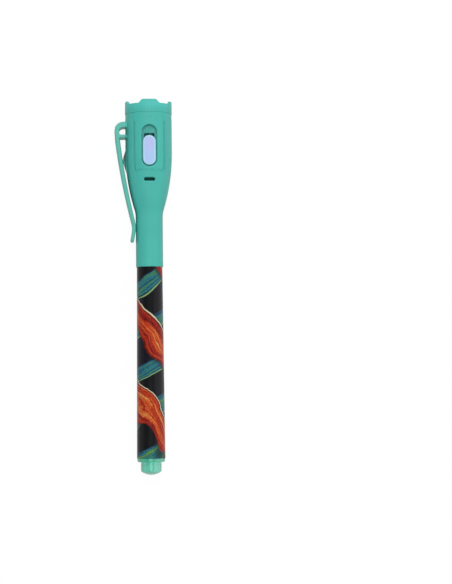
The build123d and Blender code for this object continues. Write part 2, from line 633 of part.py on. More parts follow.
def make_crown_bezel():
    """Castellated crown with a spigot pressed into the head and a lip over the reflector."""
    rim_bore = CROWN_RADIUS - CROWN_WALL
    crown = turned(
        (BEZEL_BORE, BEZEL_REAR),
        (BEZEL_RADIUS, BEZEL_REAR),
        (BEZEL_RADIUS, SHELL_TOP + PRESS_GAP),
        (CROWN_RADIUS, SHELL_TOP + PRESS_GAP),
        (CROWN_RADIUS, CROWN_TOP),
        (rim_bore, CROWN_TOP),
        (rim_bore - CROWN_SPLAY, CROWN_RIM),
        (MOUTH_RADIUS, MOUTH + PRESS_GAP),
        (BEZEL_BORE, MOUTH + PRESS_GAP),
    )
    top_edge = crown.edges().filter_by(GeomType.CIRCLE).group_by(Axis.Z)[-1].sort_by(SortBy.RADIUS)[-1]
    crown = fillet(top_edge, CROWN_ROUND)
    pitch = 360 / TOOTH_COUNT
    top_half = CROWN_RADIUS * math.sin(math.radians((pitch - TOOTH_TOP_ANGLE) / 2))
    base_half = CROWN_RADIUS * math.sin(math.radians((pitch - TOOTH_BASE_ANGLE) / 2))
    reach = top_half + 2 * TOOTH_ROUND
    corners = [(base_half, CROWN_RIM), (top_half, CROWN_TOP), (reach, CROWN_TOP)]
    corners += [(reach, CROWN_TOP + TOOTH_HEIGHT)]
    corners += [(-across, height) for across, height in reversed(corners)]
    notch_face = make_face(Polyline(*corners, close=True))
    notch_face = fillet(notch_face.vertices().group_by(Axis.Y)[0], NOTCH_ROUND)
    notch_face = fillet(notch_face.vertices().group_by(Axis.Y)[-2].sort_by(Axis.X)[1:-1], TOOTH_ROUND)
    notch = extrude(Plane.XZ * notch_face, 2 * CROWN_RADIUS)
    for number in range(TOOTH_COUNT):
        crown -= Rot(0, 0, (number + 0.5) * pitch) * notch
    return crown


def make_reflector():
    """Bowl reflector with a neck that holds the lamp."""
    neck_radius = LED_FLANGE_RADIUS + PRESS_GAP + NECK_WALL
    flange_radius = BEZEL_BORE - PRESS_GAP
    flange_base = MOUTH - MOUTH_FLANGE
    wall_top = MOUTH_RADIUS + REFLECTOR_WALL / 2
    bowl_middle = ((THROAT_RADIUS + MOUTH_RADIUS) / 2 + REFLECTOR_BOW, 0, (THROAT + MOUTH) / 2)
    outline = ThreePointArc((THROAT_RADIUS, 0, THROAT), bowl_middle, (MOUTH_RADIUS, 0, MOUTH))
    outline += Polyline(
        (MOUTH_RADIUS, 0, MOUTH),
        (flange_radius, 0, MOUTH),
        (flange_radius, 0, flange_base),
        (wall_top, 0, flange_base),
        (neck_radius, 0, THROAT - REFLECTOR_WALL),
        (neck_radius, 0, LED_BASE),
        (LED_FLANGE_RADIUS + PRESS_GAP, 0, LED_BASE),
        (LED_FLANGE_RADIUS + PRESS_GAP, 0, LED_SHOULDER + PRESS_GAP),
        (THROAT_RADIUS, 0, LED_SHOULDER + PRESS_GAP),
        (THROAT_RADIUS, 0, THROAT),
    )
    return revolve(make_face(outline), Axis.Z)


def make_led_lens():
    """Five-millimetre lamp body: flange with a flat, cylinder and dome."""
    dome_base = LED_TIP - LED_RADIUS
    slope = math.pi / 4
    flank = (LED_RADIUS * math.cos(slope), 0, dome_base + LED_RADIUS * math.sin(slope))
    outline = Polyline(
        (0, 0, LED_TIP),
        (0, 0, LED_BASE),
        (LED_FLANGE_RADIUS, 0, LED_BASE),
        (LED_FLANGE_RADIUS, 0, LED_SHOULDER),
        (LED_RADIUS, 0, LED_SHOULDER),
        (LED_RADIUS, 0, dome_base),
    )
    outline += ThreePointArc((LED_RADIUS, 0, dome_base), flank, (0, 0, LED_TIP))
    flat_back = LED_FLANGE_RADIUS - LED_FLAT
    middle = LED_BASE + LED_FLANGE_HEIGHT / 2
    flat = front_block(2 * LED_FLANGE_RADIUS, LED_FLANGE_HEIGHT, middle, flat_back, LED_FLANGE_RADIUS)
    return revolve(make_face(outline), Axis.Z) - flat


def make_led_anode_lead():
    """Lead bent flat on the top cell."""
    start = LEAD_PITCH / 2
    foot = CELLS_TOP + PRESS_GAP + LEAD_SIZE / 2
    points = ((0, start, LED_BASE - PRESS_GAP), (0, start, foot), (0, start - LEAD_FOOT, foot))
    return bent(Rectangle(LEAD_SIZE, LEAD_SIZE), *points, bend=LEAD_BEND)


def make_led_cathode_lead():
    """Lead led over the edge of the carrier and down its flat front, where the wiper reaches it."""
    start = -LEAD_PITCH / 2
    run = LED_BASE - LED_STANDOFF / 2
    front = LEAD_SIZE / 2 - CONTACT_FACE
    points = ((0, start, LED_BASE - PRESS_GAP), (0, start, run), (0, front, run), (0, front, CATHODE_END))
    return bent(Rectangle(LEAD_SIZE, LEAD_SIZE), *points, bend=LEAD_BEND)


def make_cell_carrier():
    """Carrier cup for the cells, flat in front, with a lead groove, a strip slit and a strip guard."""
    cup = tube(0, CARRIER_RADIUS, FLOOR_BASE, CARRIER_TOP) + tube(0, FOOT_RADIUS, FLOOR_BASE, FLOOR_TOP)
    cup -= tube(0, CARRIER_BORE, FLOOR_TOP, CARRIER_TOP)
    wall_length = CARRIER_TOP - FLOOR_TOP
    wall_middle = (CARRIER_TOP + FLOOR_TOP) / 2
    cup -= front_block(2 * CARRIER_RADIUS, wall_length, wall_middle, FLAT_FACE, FOOT_RADIUS)
    lead_back = CONTACT_FACE - LEAD_SIZE - PRESS_GAP
    lead_length = CARRIER_TOP - CATHODE_END + SLIDE_GAP
    lead_middle = CARRIER_TOP - lead_length / 2
    cup -= front_block(LEAD_SIZE + 2 * SLIDE_GAP, lead_length, lead_middle, lead_back, FOOT_RADIUS)
    slit_height = STRIP_THICKNESS + 2 * SLIDE_GAP
    slit_middle = FLOOR_TOP + slit_height / 2
    cup -= front_block(STRIP_WIDTH + 2 * SLIDE_GAP, slit_height, slit_middle, 0, FOOT_RADIUS)
    guard_back = CONTACT_FACE + SLIDE_GAP
    guard_front = guard_back + GUARD_THICKNESS
    guard_root = CARRIER_BORE + CARRIER_WALL / 4
    guard = front_block(GUARD_WIDTH, GUARD_HEIGHT, TAB_SLOT_MIDDLE, guard_root, guard_front)
    channel_width = STRIP_WIDTH + 2 * SLIDE_GAP
    return cup + (guard - front_block(channel_width, GUARD_HEIGHT, TAB_SLOT_MIDDLE, FLAT_FACE, guard_back))


def make_cell(base):
    """Button cell with its small lid downwards."""
    can_base = base + CELL_LID_HEIGHT
    can_top = base + CELL_HEIGHT
    return turned(
        (0, base),
        (CELL_LID_RADIUS, base),
        (CELL_LID_RADIUS, can_base),
        (CELL_RADIUS - CELL_ROUND, can_base),
        (CELL_RADIUS, can_base + CELL_ROUND),
        (CELL_RADIUS, can_top - CELL_ROUND),
        (CELL_RADIUS - CELL_ROUND, can_top),
        (0, can_top),
    )


def make_battery_spring():
    """Round-wire spring under the cells."""
    margin = SPRING_WIRE / 2 + PRESS_GAP
    rise = SPRING_HEIGHT - 2 * margin
    path = Pos(0, 0, SPRING_BASE + margin) * Helix(rise / SPRING_TURNS, rise, SPRING_RADIUS)
    section = Plane(origin=path @ 0, z_dir=path % 0) * Circle(SPRING_WIRE / 2)
    return sweep(section, path=path, is_frenet=True)


def make_negative_strip():
    """Contact strip: a pad under the spring, a foot through the carrier wall and a riser up its front."""
    strip = tube(0, STRIP_PAD_RADIUS, STRIP_BASE, SPRING_BASE)
    foot_middle = (STRIP_BASE + SPRING_BASE) / 2
    strip += front_block(STRIP_WIDTH, STRIP_THICKNESS, foot_middle, 0, CONTACT_FACE)
    riser_length = STRIP_TOP - STRIP_BASE
    strip += front_block(STRIP_WIDTH, riser_length, STRIP_TOP - riser_length / 2, STRIP_BACK, CONTACT_FACE)
    return strip


def make_switch_button():
    """Slide button with a domed top, a stem through the window and a tenon for the carriage."""
    base = DECK_FRONT + SLIDE_GAP
    button = front_slot(BUTTON_WIDTH, BUTTON_LENGTH, SWITCH_MIDDLE, base, CROWN_RADIUS + HEAD_WALL)
    button &= tube(0, BUTTON_RADIUS, RECESS_BASE, RECESS_TOP)
    outer_edges = button.faces().sort_by(Axis.Y)[0].outer_wire().edges()
    button = fillet(outer_edges, BUTTON_ROUND)
    button += front_block(STEM_WIDTH, STEM_LENGTH, SWITCH_MIDDLE, CARRIAGE_FRONT + PRESS_GAP, base)
    button += front_block(TENON_WIDTH, TENON_LENGTH, SWITCH_MIDDLE, CARRIAGE_BACK, base)
    return button


def make_switch_carriage():
    """Plate behind the window that carries the wiper."""
    plate = front_block(CARRIAGE_WIDTH, CARRIAGE_LENGTH, SWITCH_MIDDLE, CARRIAGE_BACK, CARRIAGE_FRONT)
    hole_width = TENON_WIDTH + 2 * PRESS_GAP
    hole_length = TENON_LENGTH + 2 * PRESS_GAP
    return plate - front_block(hole_width, hole_length, SWITCH_MIDDLE, CARRIAGE_BACK, CARRIAGE_FRONT)


def make_switch_wiper():
    """Leaf contact with two bumps, one travel apart, that bridge the strip and the lead when switched on."""
    seat = PRESS_GAP + WIPER_THICKNESS / 2 - CARRIAGE_BACK
    bump = -CONTACT_FACE - CONTACT_CLEARANCE - WIPER_THICKNESS / 2
    upper = SWITCH_MIDDLE - BUMP_DROP
    lower = upper - SWITCH_TRAVEL
    points = (
        (0, seat, SWITCH_MIDDLE + TENON_LENGTH / 2),
        (0, seat, SWITCH_MIDDLE - TENON_LENGTH / 2),
        (0, bump, upper),
        (0, seat, (upper + lower) / 2),
        (0, bump, lower),
        (0, seat, lower - WIPER_TAIL),
    )
    return bent(Rectangle(WIPER_WIDTH, WIPER_THICKNESS), *points, bend=WIPER_BEND)


def lying_on_table(pieces):
    """Place of the pen on a table, centred: its tail edge, ogive and clip corner touch the table."""
    tail_radius = barrel_radius(BARREL_REAR) + PRESS_GAP + FILM_THICKNESS
    rise = tail_radius - OGIVE_CENTRE
    run = OGIVE_TOP - BARREL_REAR
    slope = math.atan2(run, rise) - math.acos(OGIVE_RADIUS / math.hypot(run, rise))
    table = tail_radius + (FLEX_HEIGHT - BARREL_REAR) * math.tan(slope)
    corner_out = CLIP_OUTER - CLIP_EDGE
    corner_side = CLIP_WIDTH / 2 - CLIP_EDGE
    turn_left = math.acos((table - CLIP_EDGE) / math.hypot(corner_side, corner_out))
    roll = math.atan2(corner_side, corner_out) + turn_left
    axis = Vector(-math.cos(slope), 0, math.sin(slope))
    down = Vector(-math.sin(slope), 0, -math.cos(slope))
    clip_side = down * math.cos(roll) + Vector(0, -math.sin(roll), 0)
    height = tail_radius * math.cos(slope) - BARREL_REAR * math.sin(slope)
    place = Location(Plane(origin=(0, 0, height), x_dir=-clip_side, z_dir=axis))
    box = Compound([place * piece for piece in pieces.values()]).bounding_box()
    return Pos(-(box.min.X + box.max.X) / 2, -(box.min.Y + box.max.Y) / 2, -box.min.Z) * place


def make_pieces():
    """All pieces of the pen on its own axis, by name."""
    pieces = {
        "barrel": make_barrel(),
        "barrel_sleeve": make_barrel_sleeve(),
        "tail_plug": make_tail_plug(),
        "nib_holder": make_nib_holder(),
        "nib": make_nib(),
        "ink_core": make_ink_core(),
        "ink_core_wrap": make_ink_core_wrap(),
        "inner_cap": make_inner_cap(),
        "cap_shell": make_cap_shell(),
        "clip_arm": make_clip_arm(),
        "crown_bezel": make_crown_bezel(),
        "reflector": make_reflector(),
        "led_lens": make_led_lens(),
        "led_anode_lead": make_led_anode_lead(),
        "led_cathode_lead": make_led_cathode_lead(),
        "cell_carrier": make_cell_carrier(),
        "battery_spring": make_battery_spring(),
        "negative_strip": make_negative_strip(),
        "switch_button": make_switch_button(),
        "switch_carriage": make_switch_carriage(),
        "switch_wiper": make_switch_wiper(),
    }
    for number, name in enumerate(CELL_NAMES):
        pieces[name] = make_cell(CELLS_BASE + number * CELL_HEIGHT)
    return pieces


def main():
    """Write one file for each piece, with the pen lying on the table."""
    pieces = make_pieces()
    place = lying_on_table(pieces)
    os.makedirs("parts", exist_ok=True)
    for name, piece in pieces.items():
        export_step(place * piece, f"parts/{name}.step")


if __name__ == "__main__":
    main()
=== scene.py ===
"""Dresses the torch-cap pen: finishes, printed film, spring clip and the inside of the lamp."""

from __future__ import annotations

import json
import logging
import math
from abc import ABC, abstractmethod
from dataclasses import dataclass
from enum import Enum
from functools import reduce
from typing import Any, Iterable, Sequence

import bpy
from mathutils import Matrix, Vector

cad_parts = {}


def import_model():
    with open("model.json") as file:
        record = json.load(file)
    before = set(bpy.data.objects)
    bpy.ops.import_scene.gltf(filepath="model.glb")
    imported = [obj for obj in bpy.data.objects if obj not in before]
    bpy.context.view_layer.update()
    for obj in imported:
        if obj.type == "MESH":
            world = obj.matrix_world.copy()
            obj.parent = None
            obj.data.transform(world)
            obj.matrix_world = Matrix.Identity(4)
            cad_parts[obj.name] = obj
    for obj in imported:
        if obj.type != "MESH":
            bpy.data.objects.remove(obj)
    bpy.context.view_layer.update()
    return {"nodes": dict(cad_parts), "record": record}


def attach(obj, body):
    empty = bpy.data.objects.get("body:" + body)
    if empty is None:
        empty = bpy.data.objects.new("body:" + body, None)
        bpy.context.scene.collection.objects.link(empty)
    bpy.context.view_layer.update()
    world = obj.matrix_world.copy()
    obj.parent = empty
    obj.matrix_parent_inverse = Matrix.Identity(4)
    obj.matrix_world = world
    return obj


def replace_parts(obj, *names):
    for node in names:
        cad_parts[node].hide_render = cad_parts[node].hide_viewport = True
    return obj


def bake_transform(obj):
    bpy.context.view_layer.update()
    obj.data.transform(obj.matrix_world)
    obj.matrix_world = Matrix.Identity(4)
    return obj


LOG = logging.getLogger("torch_cap_pen")
MM = 0.001
FULL_TURN = 2 * math.pi
IMAGE_HEIGHT_PX = 584
WHITE = (1.0, 1.0, 1.0)

Triple = tuple[float, float, float]
Colour = tuple[float, float, float]
Span = tuple[float, float]
Feed = Any
Node = bpy.types.Node
Socket = bpy.types.NodeSocket
Sockets = dict[str, bpy.types.NodeSocket]
Piece = bpy.types.Object


class Body(Enum):
    """Rigid bodies of the pen."""

    PEN = "pen"
    CAP = "cap"
    SWITCH = "switch"
    CLIP = "clip"


class Slot(Enum):
    """Material slots of the record."""

    CAP = "cap_plastic"
    TAIL = "tail_plastic"
    NOSE = "nose_plastic"
    BUTTON = "button_plastic"
    FILM = "printed_film"
    FIBRE = "fibre"
    CORE_FILM = "core_film"
    SEAL = "seal_plastic"
    BLACK = "black_plastic"
    CELL = "cell_steel"
    SPRING = "spring_steel"
    LEAD = "lead_tin"
    REFLECTOR = "reflector_bright"
    LENS = "lens_epoxy"


def srgb(red: int, green: int, blue: int) -> Colour:
    """Linear colour of an eight-bit screen colour.

    Args:
        red: Red, 0 to 255.
        green: Green, 0 to 255.
        blue: Blue, 0 to 255.

    Returns:
        The three linear values.
    """

    def straight(level: int) -> float:
        """Linear value of one channel."""
        share = level / 255
        return share / 12.92 if share <= 0.04045 else ((share + 0.055) / 1.055) ** 2.4

    return straight(red), straight(green), straight(blue)


@dataclass(frozen=True)
class PenAxes:
    """The pen's own axes on the table: +Z from the tail to the lamp, switch at -Y, clip at -X."""

    origin: Vector
    x: Vector
    y: Vector
    z: Vector

    @classmethod
    def from_record(cls, record: dict[str, Any]) -> PenAxes:
        """Finds the axes from the cap's slide, the clip's flex line and the tail's spigot.

        Args:
            record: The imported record.

        Returns:
            The axes, with height zero at the rear face of the tail flange.
        """
        joints = {joint["name"]: joint for joint in record["behaviour"]["joints"]}
        mounts = {mount["name"]: mount for mount in record["mounts"]}
        z = Vector(joints["cap_pull"]["axis"]).normalized()
        flex = Vector(joints["clip_flex"]["axis"])
        y = (flex - z * flex.dot(z)).normalized()
        spigot = mounts["tail_spigot"]
        origin = Vector(spigot["pos_m"]) + z * (spigot["dims"]["length_mm"] / 2 * MM)
        return cls(origin, y.cross(z), y, z)

    @property
    def turn(self) -> Matrix:
        """Rotation from the pen's axes to the table's."""
        return Matrix((self.x, self.y, self.z)).transposed()

    @property
    def matrix(self) -> Matrix:
        """Transform from millimetres on the pen's axes to metres on the table."""
        return Matrix.Translation(self.origin) @ self.turn.to_4x4() @ Matrix.Scale(MM, 4)

    def point(self, x: float, y: float, z: float) -> Vector:
        """Place on the table of a point in millimetres on the pen's axes."""
        return self.matrix @ Vector((x, y, z))

    def way(self, x: float, y: float, z: float) -> Vector:
        """Direction on the table of a direction on the pen's axes."""
        return (self.turn @ Vector((x, y, z))).normalized()


class Graph:
    """Adds nodes to one node tree and joins them."""

    def __init__(self, tree: bpy.types.NodeTree) -> None:
        """Takes the tree to add to."""
        self.tree = tree

    def feed(self, socket: Socket, value: Feed) -> None:
        """Links an input to a socket, or sets it to a value.

        Args:
            socket: The input.
            value: A socket, a number, a vector or a colour.
        """
        if isinstance(value, Socket):
            self.tree.links.new(value, socket)
        elif socket.type == "RGBA":
            socket.default_value = (*value, 1.0)
        else:
            socket.default_value = value

    def fill(self, node: Node, inputs: dict[Any, Feed]) -> None:
        """Feeds several inputs of a node, by name or number."""
        for name, value in inputs.items():
            self.feed(node.inputs[name], value)

    def add(self, kind: str, inputs: dict[Any, Feed] | None = None, **settings: Any) -> Node:
        """Adds a node.

        Args:
            kind: The node's type.
            inputs: Values or sockets for its inputs, by name or number.
            **settings: Other properties of the node.

        Returns:
            The node.
        """
        node = self.tree.nodes.new(kind)
        for name, value in settings.items():
            setattr(node, name, value)
        self.fill(node, inputs or {})
        return node

    def math(self, operation: str, *values: Feed, clamp: bool = False) -> Socket:
        """Result of a math node on up to three values."""
        inputs = dict(enumerate(values))
        return self.add("ShaderNodeMath", inputs, operation=operation, use_clamp=clamp).outputs[0]

    def times(self, *values: Feed) -> Socket:
        """Product of several values."""
        return reduce(lambda one, other: self.math("MULTIPLY", one, other), values)

    def minus(self, one: Feed, other: Feed) -> Socket:
        """Difference of two values."""
        return self.math("SUBTRACT", one, other)

    def gap(self, one: Feed, other: Feed = 0.0) -> Socket:
        """Distance between two values."""
        return self.math("ABSOLUTE", self.minus(one, other))

    def line(self, value: Feed, slope: Feed, start: Feed) -> Socket:
        """A value times a slope, plus a start."""
        return self.math("MULTIPLY_ADD", value, slope, start)

    def spread(self, value: Feed, span: Span, low: float, high: float) -> Socket:
        """A value moved smoothly from a span to another range, and held at its ends."""
        inputs = {0: value, 1: span[0], 2: span[1], 3: low, 4: high}
        return self.add("ShaderNodeMapRange", inputs, interpolation_type="SMOOTHSTEP").outputs[0]

    def rise(self, value: Feed, span: Span) -> Socket:
        """Zero below a span and one above it."""
        return self.spread(value, span, 0.0, 1.0)

    def fall(self, value: Feed, span: Span) -> Socket:
        """One below a span and zero above it."""
        return self.spread(value, span, 1.0, 0.0)

    def between(self, value: Feed, low: Span, high: Span) -> Socket:
        """One between two spans and zero outside them."""
        return self.times(self.rise(value, low), self.fall(value, high))

    def mix(self, share: Feed, first: Feed, second: Feed) -> Socket:
        """Mix of two colours."""
        inputs = {0: share, 6: first, 7: second}
        return self.add("ShaderNodeMix", inputs, data_type="RGBA").outputs[2]

    def ramp(self, share: Feed, stops: Sequence[tuple[float, Colour]]) -> Socket:
        """Colour from a row of stops.

        Args:
            share: Place along the row, 0 to 1.
            stops: Places and colours, in order.

        Returns:
            The colour.
        """
        node = self.add("ShaderNodeValToRGB", {0: share})
        elements = node.color_ramp.elements
        while len(elements) < len(stops):
            elements.new(0.5)
        for element, (place, colour) in zip(elements, stops):
            element.position = place
            element.color = (*colour, 1.0)
        return node.outputs[0]

    def noise(self, place: Feed, scale: Feed, detail: float = 2.0, warp: float = 0.0) -> Socket:
        """Noise between 0 and 1 at a place."""
        inputs = {"Vector": place, "Scale": scale, "Detail": detail, "Distortion": warp}
        return self.add("ShaderNodeTexNoise", inputs).outputs[0]

    def swing(self, place: Feed, scale: Feed, detail: float = 2.0) -> Socket:
        """Noise that swings evenly about zero."""
        return self.minus(self.noise(place, scale, detail), 0.5)

    def parts(self, place: Feed) -> Sequence[Socket]:
        """The three parts of a place."""
        return self.add("ShaderNodeSeparateXYZ", {0: place}).outputs

    def scaled(self, place: Feed, scale: Triple) -> Socket:
        """A place stretched along its axes."""
        return self.add("ShaderNodeMapping", {"Vector": place, "Scale": scale}).outputs[0]

    def tinted(self, colour: Feed, tint: Feed) -> Socket:
        """A colour times a tint or a tone."""
        inputs = {0: colour, 1: tint}
        return self.add("ShaderNodeVectorMath", inputs, operation="MULTIPLY").outputs[0]

    def measure(self, operation: str, *vectors: Feed) -> Socket:
        """Number that an operation on vectors gives, such as a length."""
        inputs = dict(enumerate(vectors))
        return self.add("ShaderNodeVectorMath", inputs, operation=operation).outputs["Value"]


class EffectGroup(ABC):
    """A node group that is built once and placed in each material that uses it."""

    NAME: str
    INPUTS: tuple[str, ...] = ()
    OUTPUTS: tuple[str, ...] = ()

    @classmethod
    def begin(cls) -> Graph:
        """Makes the group with its sockets.

        Returns:
            The group's graph.
        """
        tree = bpy.data.node_groups.new(cls.NAME, "ShaderNodeTree")
        for side, names in (("INPUT", cls.INPUTS), ("OUTPUT", cls.OUTPUTS)):
            for name in names:
                kind = "NodeSocketVector" if name == "Place" else "NodeSocketFloat"
                tree.interface.new_socket(name, in_out=side, socket_type=kind)
        return Graph(tree)

    @classmethod
    def place_in(cls, graph: Graph, *values: Feed) -> Sockets:
        """Puts the group in a material.

        Args:
            graph: The material's graph.
            *values: What feeds the group's inputs, in their order.

        Returns:
            The group's outputs by name.
        """
        inputs = dict(zip(cls.INPUTS, values))
        node = graph.add("ShaderNodeGroup", inputs, node_tree=bpy.data.node_groups[cls.NAME])
        return {socket.name: socket for socket in node.outputs}


class PenAxesGroup(EffectGroup):
    """Gives a surface point on the pen's axes: place and height in millimetres, and turns round."""

    NAME = "pen_axes"
    OUTPUTS = ("Place", "Around", "Height")

    @classmethod
    def build(cls, axes: PenAxes) -> None:
        """Makes the group once.

        Args:
            axes: The pen's axes.
        """
        graph = cls.begin()
        inputs = {
            "Vector": graph.add("ShaderNodeTexCoord").outputs["Object"],
            "Location": axes.origin,
            "Rotation": axes.turn.to_euler(),
            "Scale": (MM, MM, MM),
        }
        place = graph.add("ShaderNodeMapping", inputs, vector_type="TEXTURE").outputs[0]
        x, y, z = graph.parts(place)
        angle = graph.math("ARCTAN2", x, graph.times(y, -1.0))
        around = graph.math("DIVIDE", angle, FULL_TURN)
        graph.add("NodeGroupOutput", {"Place": place, "Around": around, "Height": z})


class MouldGrainGroup(EffectGroup):
    """Gives the uneven tone and fine grain of moulded plastic.

    It takes the place, the grains per millimetre and how much the tone wanders.
    """

    NAME = "mould_grain"
    INPUTS = ("Place", "Fineness", "Tone")
    OUTPUTS = ("Shade", "Gloss", "Height")
    CLOUD_SCALE = 0.16
    FLOW_SCALE = (0.5, 0.5, 0.06)
    UNEVEN_GLOSS = -0.12
    GRAIN_GLOSS = 0.06

    @classmethod
    def build(cls) -> None:
        """Makes the group once."""
        graph = cls.begin()
        given = graph.add("NodeGroupInput").outputs
        cloud = graph.swing(given["Place"], cls.CLOUD_SCALE, detail=3.0)
        flow = graph.swing(graph.scaled(given["Place"], cls.FLOW_SCALE), 1.0)
        grain = graph.noise(given["Place"], given["Fineness"])
        uneven = graph.math("ADD", cloud, flow)
        shade = graph.line(uneven, given["Tone"], 1.0)
        gloss = graph.line(uneven, cls.UNEVEN_GLOSS, graph.times(grain, cls.GRAIN_GLOSS))
        graph.add("NodeGroupOutput", {"Shade": shade, "Gloss": gloss, "Height": grain})


class RoundSlotGroup(EffectGroup):
    """Measures from the middle line of a round-ended slot along the pen, and ahead of the axis.

    It takes the place, the height of the slot's middle and half the length of its middle line.
    """

    NAME = "round_slot"
    INPUTS = ("Place", "Middle", "Half")
    OUTPUTS = ("Distance", "Front")

    @classmethod
    def build(cls) -> None:
        """Makes the group once."""
        graph = cls.begin()
        given = graph.add("NodeGroupInput").outputs
        x, y, z = graph.parts(given["Place"])
        past_end = graph.minus(graph.gap(z, given["Middle"]), given["Half"])
        beyond = graph.math("MAXIMUM", past_end, 0.0)
        offset = graph.add("ShaderNodeCombineXYZ", {0: x, 1: beyond}).outputs[0]
        outputs = {"Distance": graph.measure("LENGTH", offset), "Front": graph.times(y, -1.0)}
        graph.add("NodeGroupOutput", outputs)


class Finish(ABC):
    """A surface finish that makes one material."""

    slot: Slot

    def make(self) -> bpy.types.Material:
        """Makes the material, named after its slot.

        Returns:
            The material.
        """
        material = bpy.data.materials.new(f"{self.slot.value}_finish")
        material.use_nodes = True
        tree = material.node_tree
        self.dress(Graph(tree), tree.nodes["Principled BSDF"])
        return material

    @abstractmethod
    def dress(self, graph: Graph, shader: Node) -> None:
        """Sets the shader's sockets and adds the nodes that feed them.

        Args:
            graph: The material's graph.
            shader: Its Principled shader.
        """


@dataclass(frozen=True)
class MouldedPlastic(Finish):
    """Moulded plastic with a fine grain, from matte to clear."""

    slot: Slot
    colour: Colour
    roughness: float
    tone: float = 0.1
    fineness: float = 7.0
    grain: float = 0.004
    specular: float = 0.5
    translucent: float = 0.0
    clear: float = 0.0
    depth: float = 1.6
    depth_tint: Colour = (0.6, 1.0, 0.9)
    index: float = 1.5

    def dress(self, graph: Graph, shader: Node) -> None:
        """Sets colour, gloss, grain and depth of colour.

        Args:
            graph: The material's graph.
            shader: Its Principled shader.
        """
        axes = PenAxesGroup.place_in(graph)
        marks = MouldGrainGroup.place_in(graph, axes["Place"], self.fineness, self.tone)
        shaded = graph.tinted(self.colour, marks["Shade"])
        grain = {"Distance": self.grain * MM, "Height": marks["Height"]}
        inputs = {
            "Base Color": self.tint(graph, axes, shaded),
            "Roughness": graph.math("ADD", marks["Gloss"], self.roughness, clamp=True),
            "Normal": graph.add("ShaderNodeBump", grain).outputs[0],
            "Specular IOR Level": self.specular,
        }
        if self.translucent:
            inputs["Subsurface Weight"] = self.translucent
            inputs["Subsurface Radius"] = self.depth_tint
            inputs["Subsurface Scale"] = self.depth * MM
        if self.clear:
            inputs["Transmission Weight"] = self.clear
            inputs["IOR"] = self.index
        graph.fill(shader, inputs)

    def tint(self, graph: Graph, axes: Sockets, colour: Feed) -> Feed:
        """Colour with the marks of one moulding on it, here none."""
        return colour


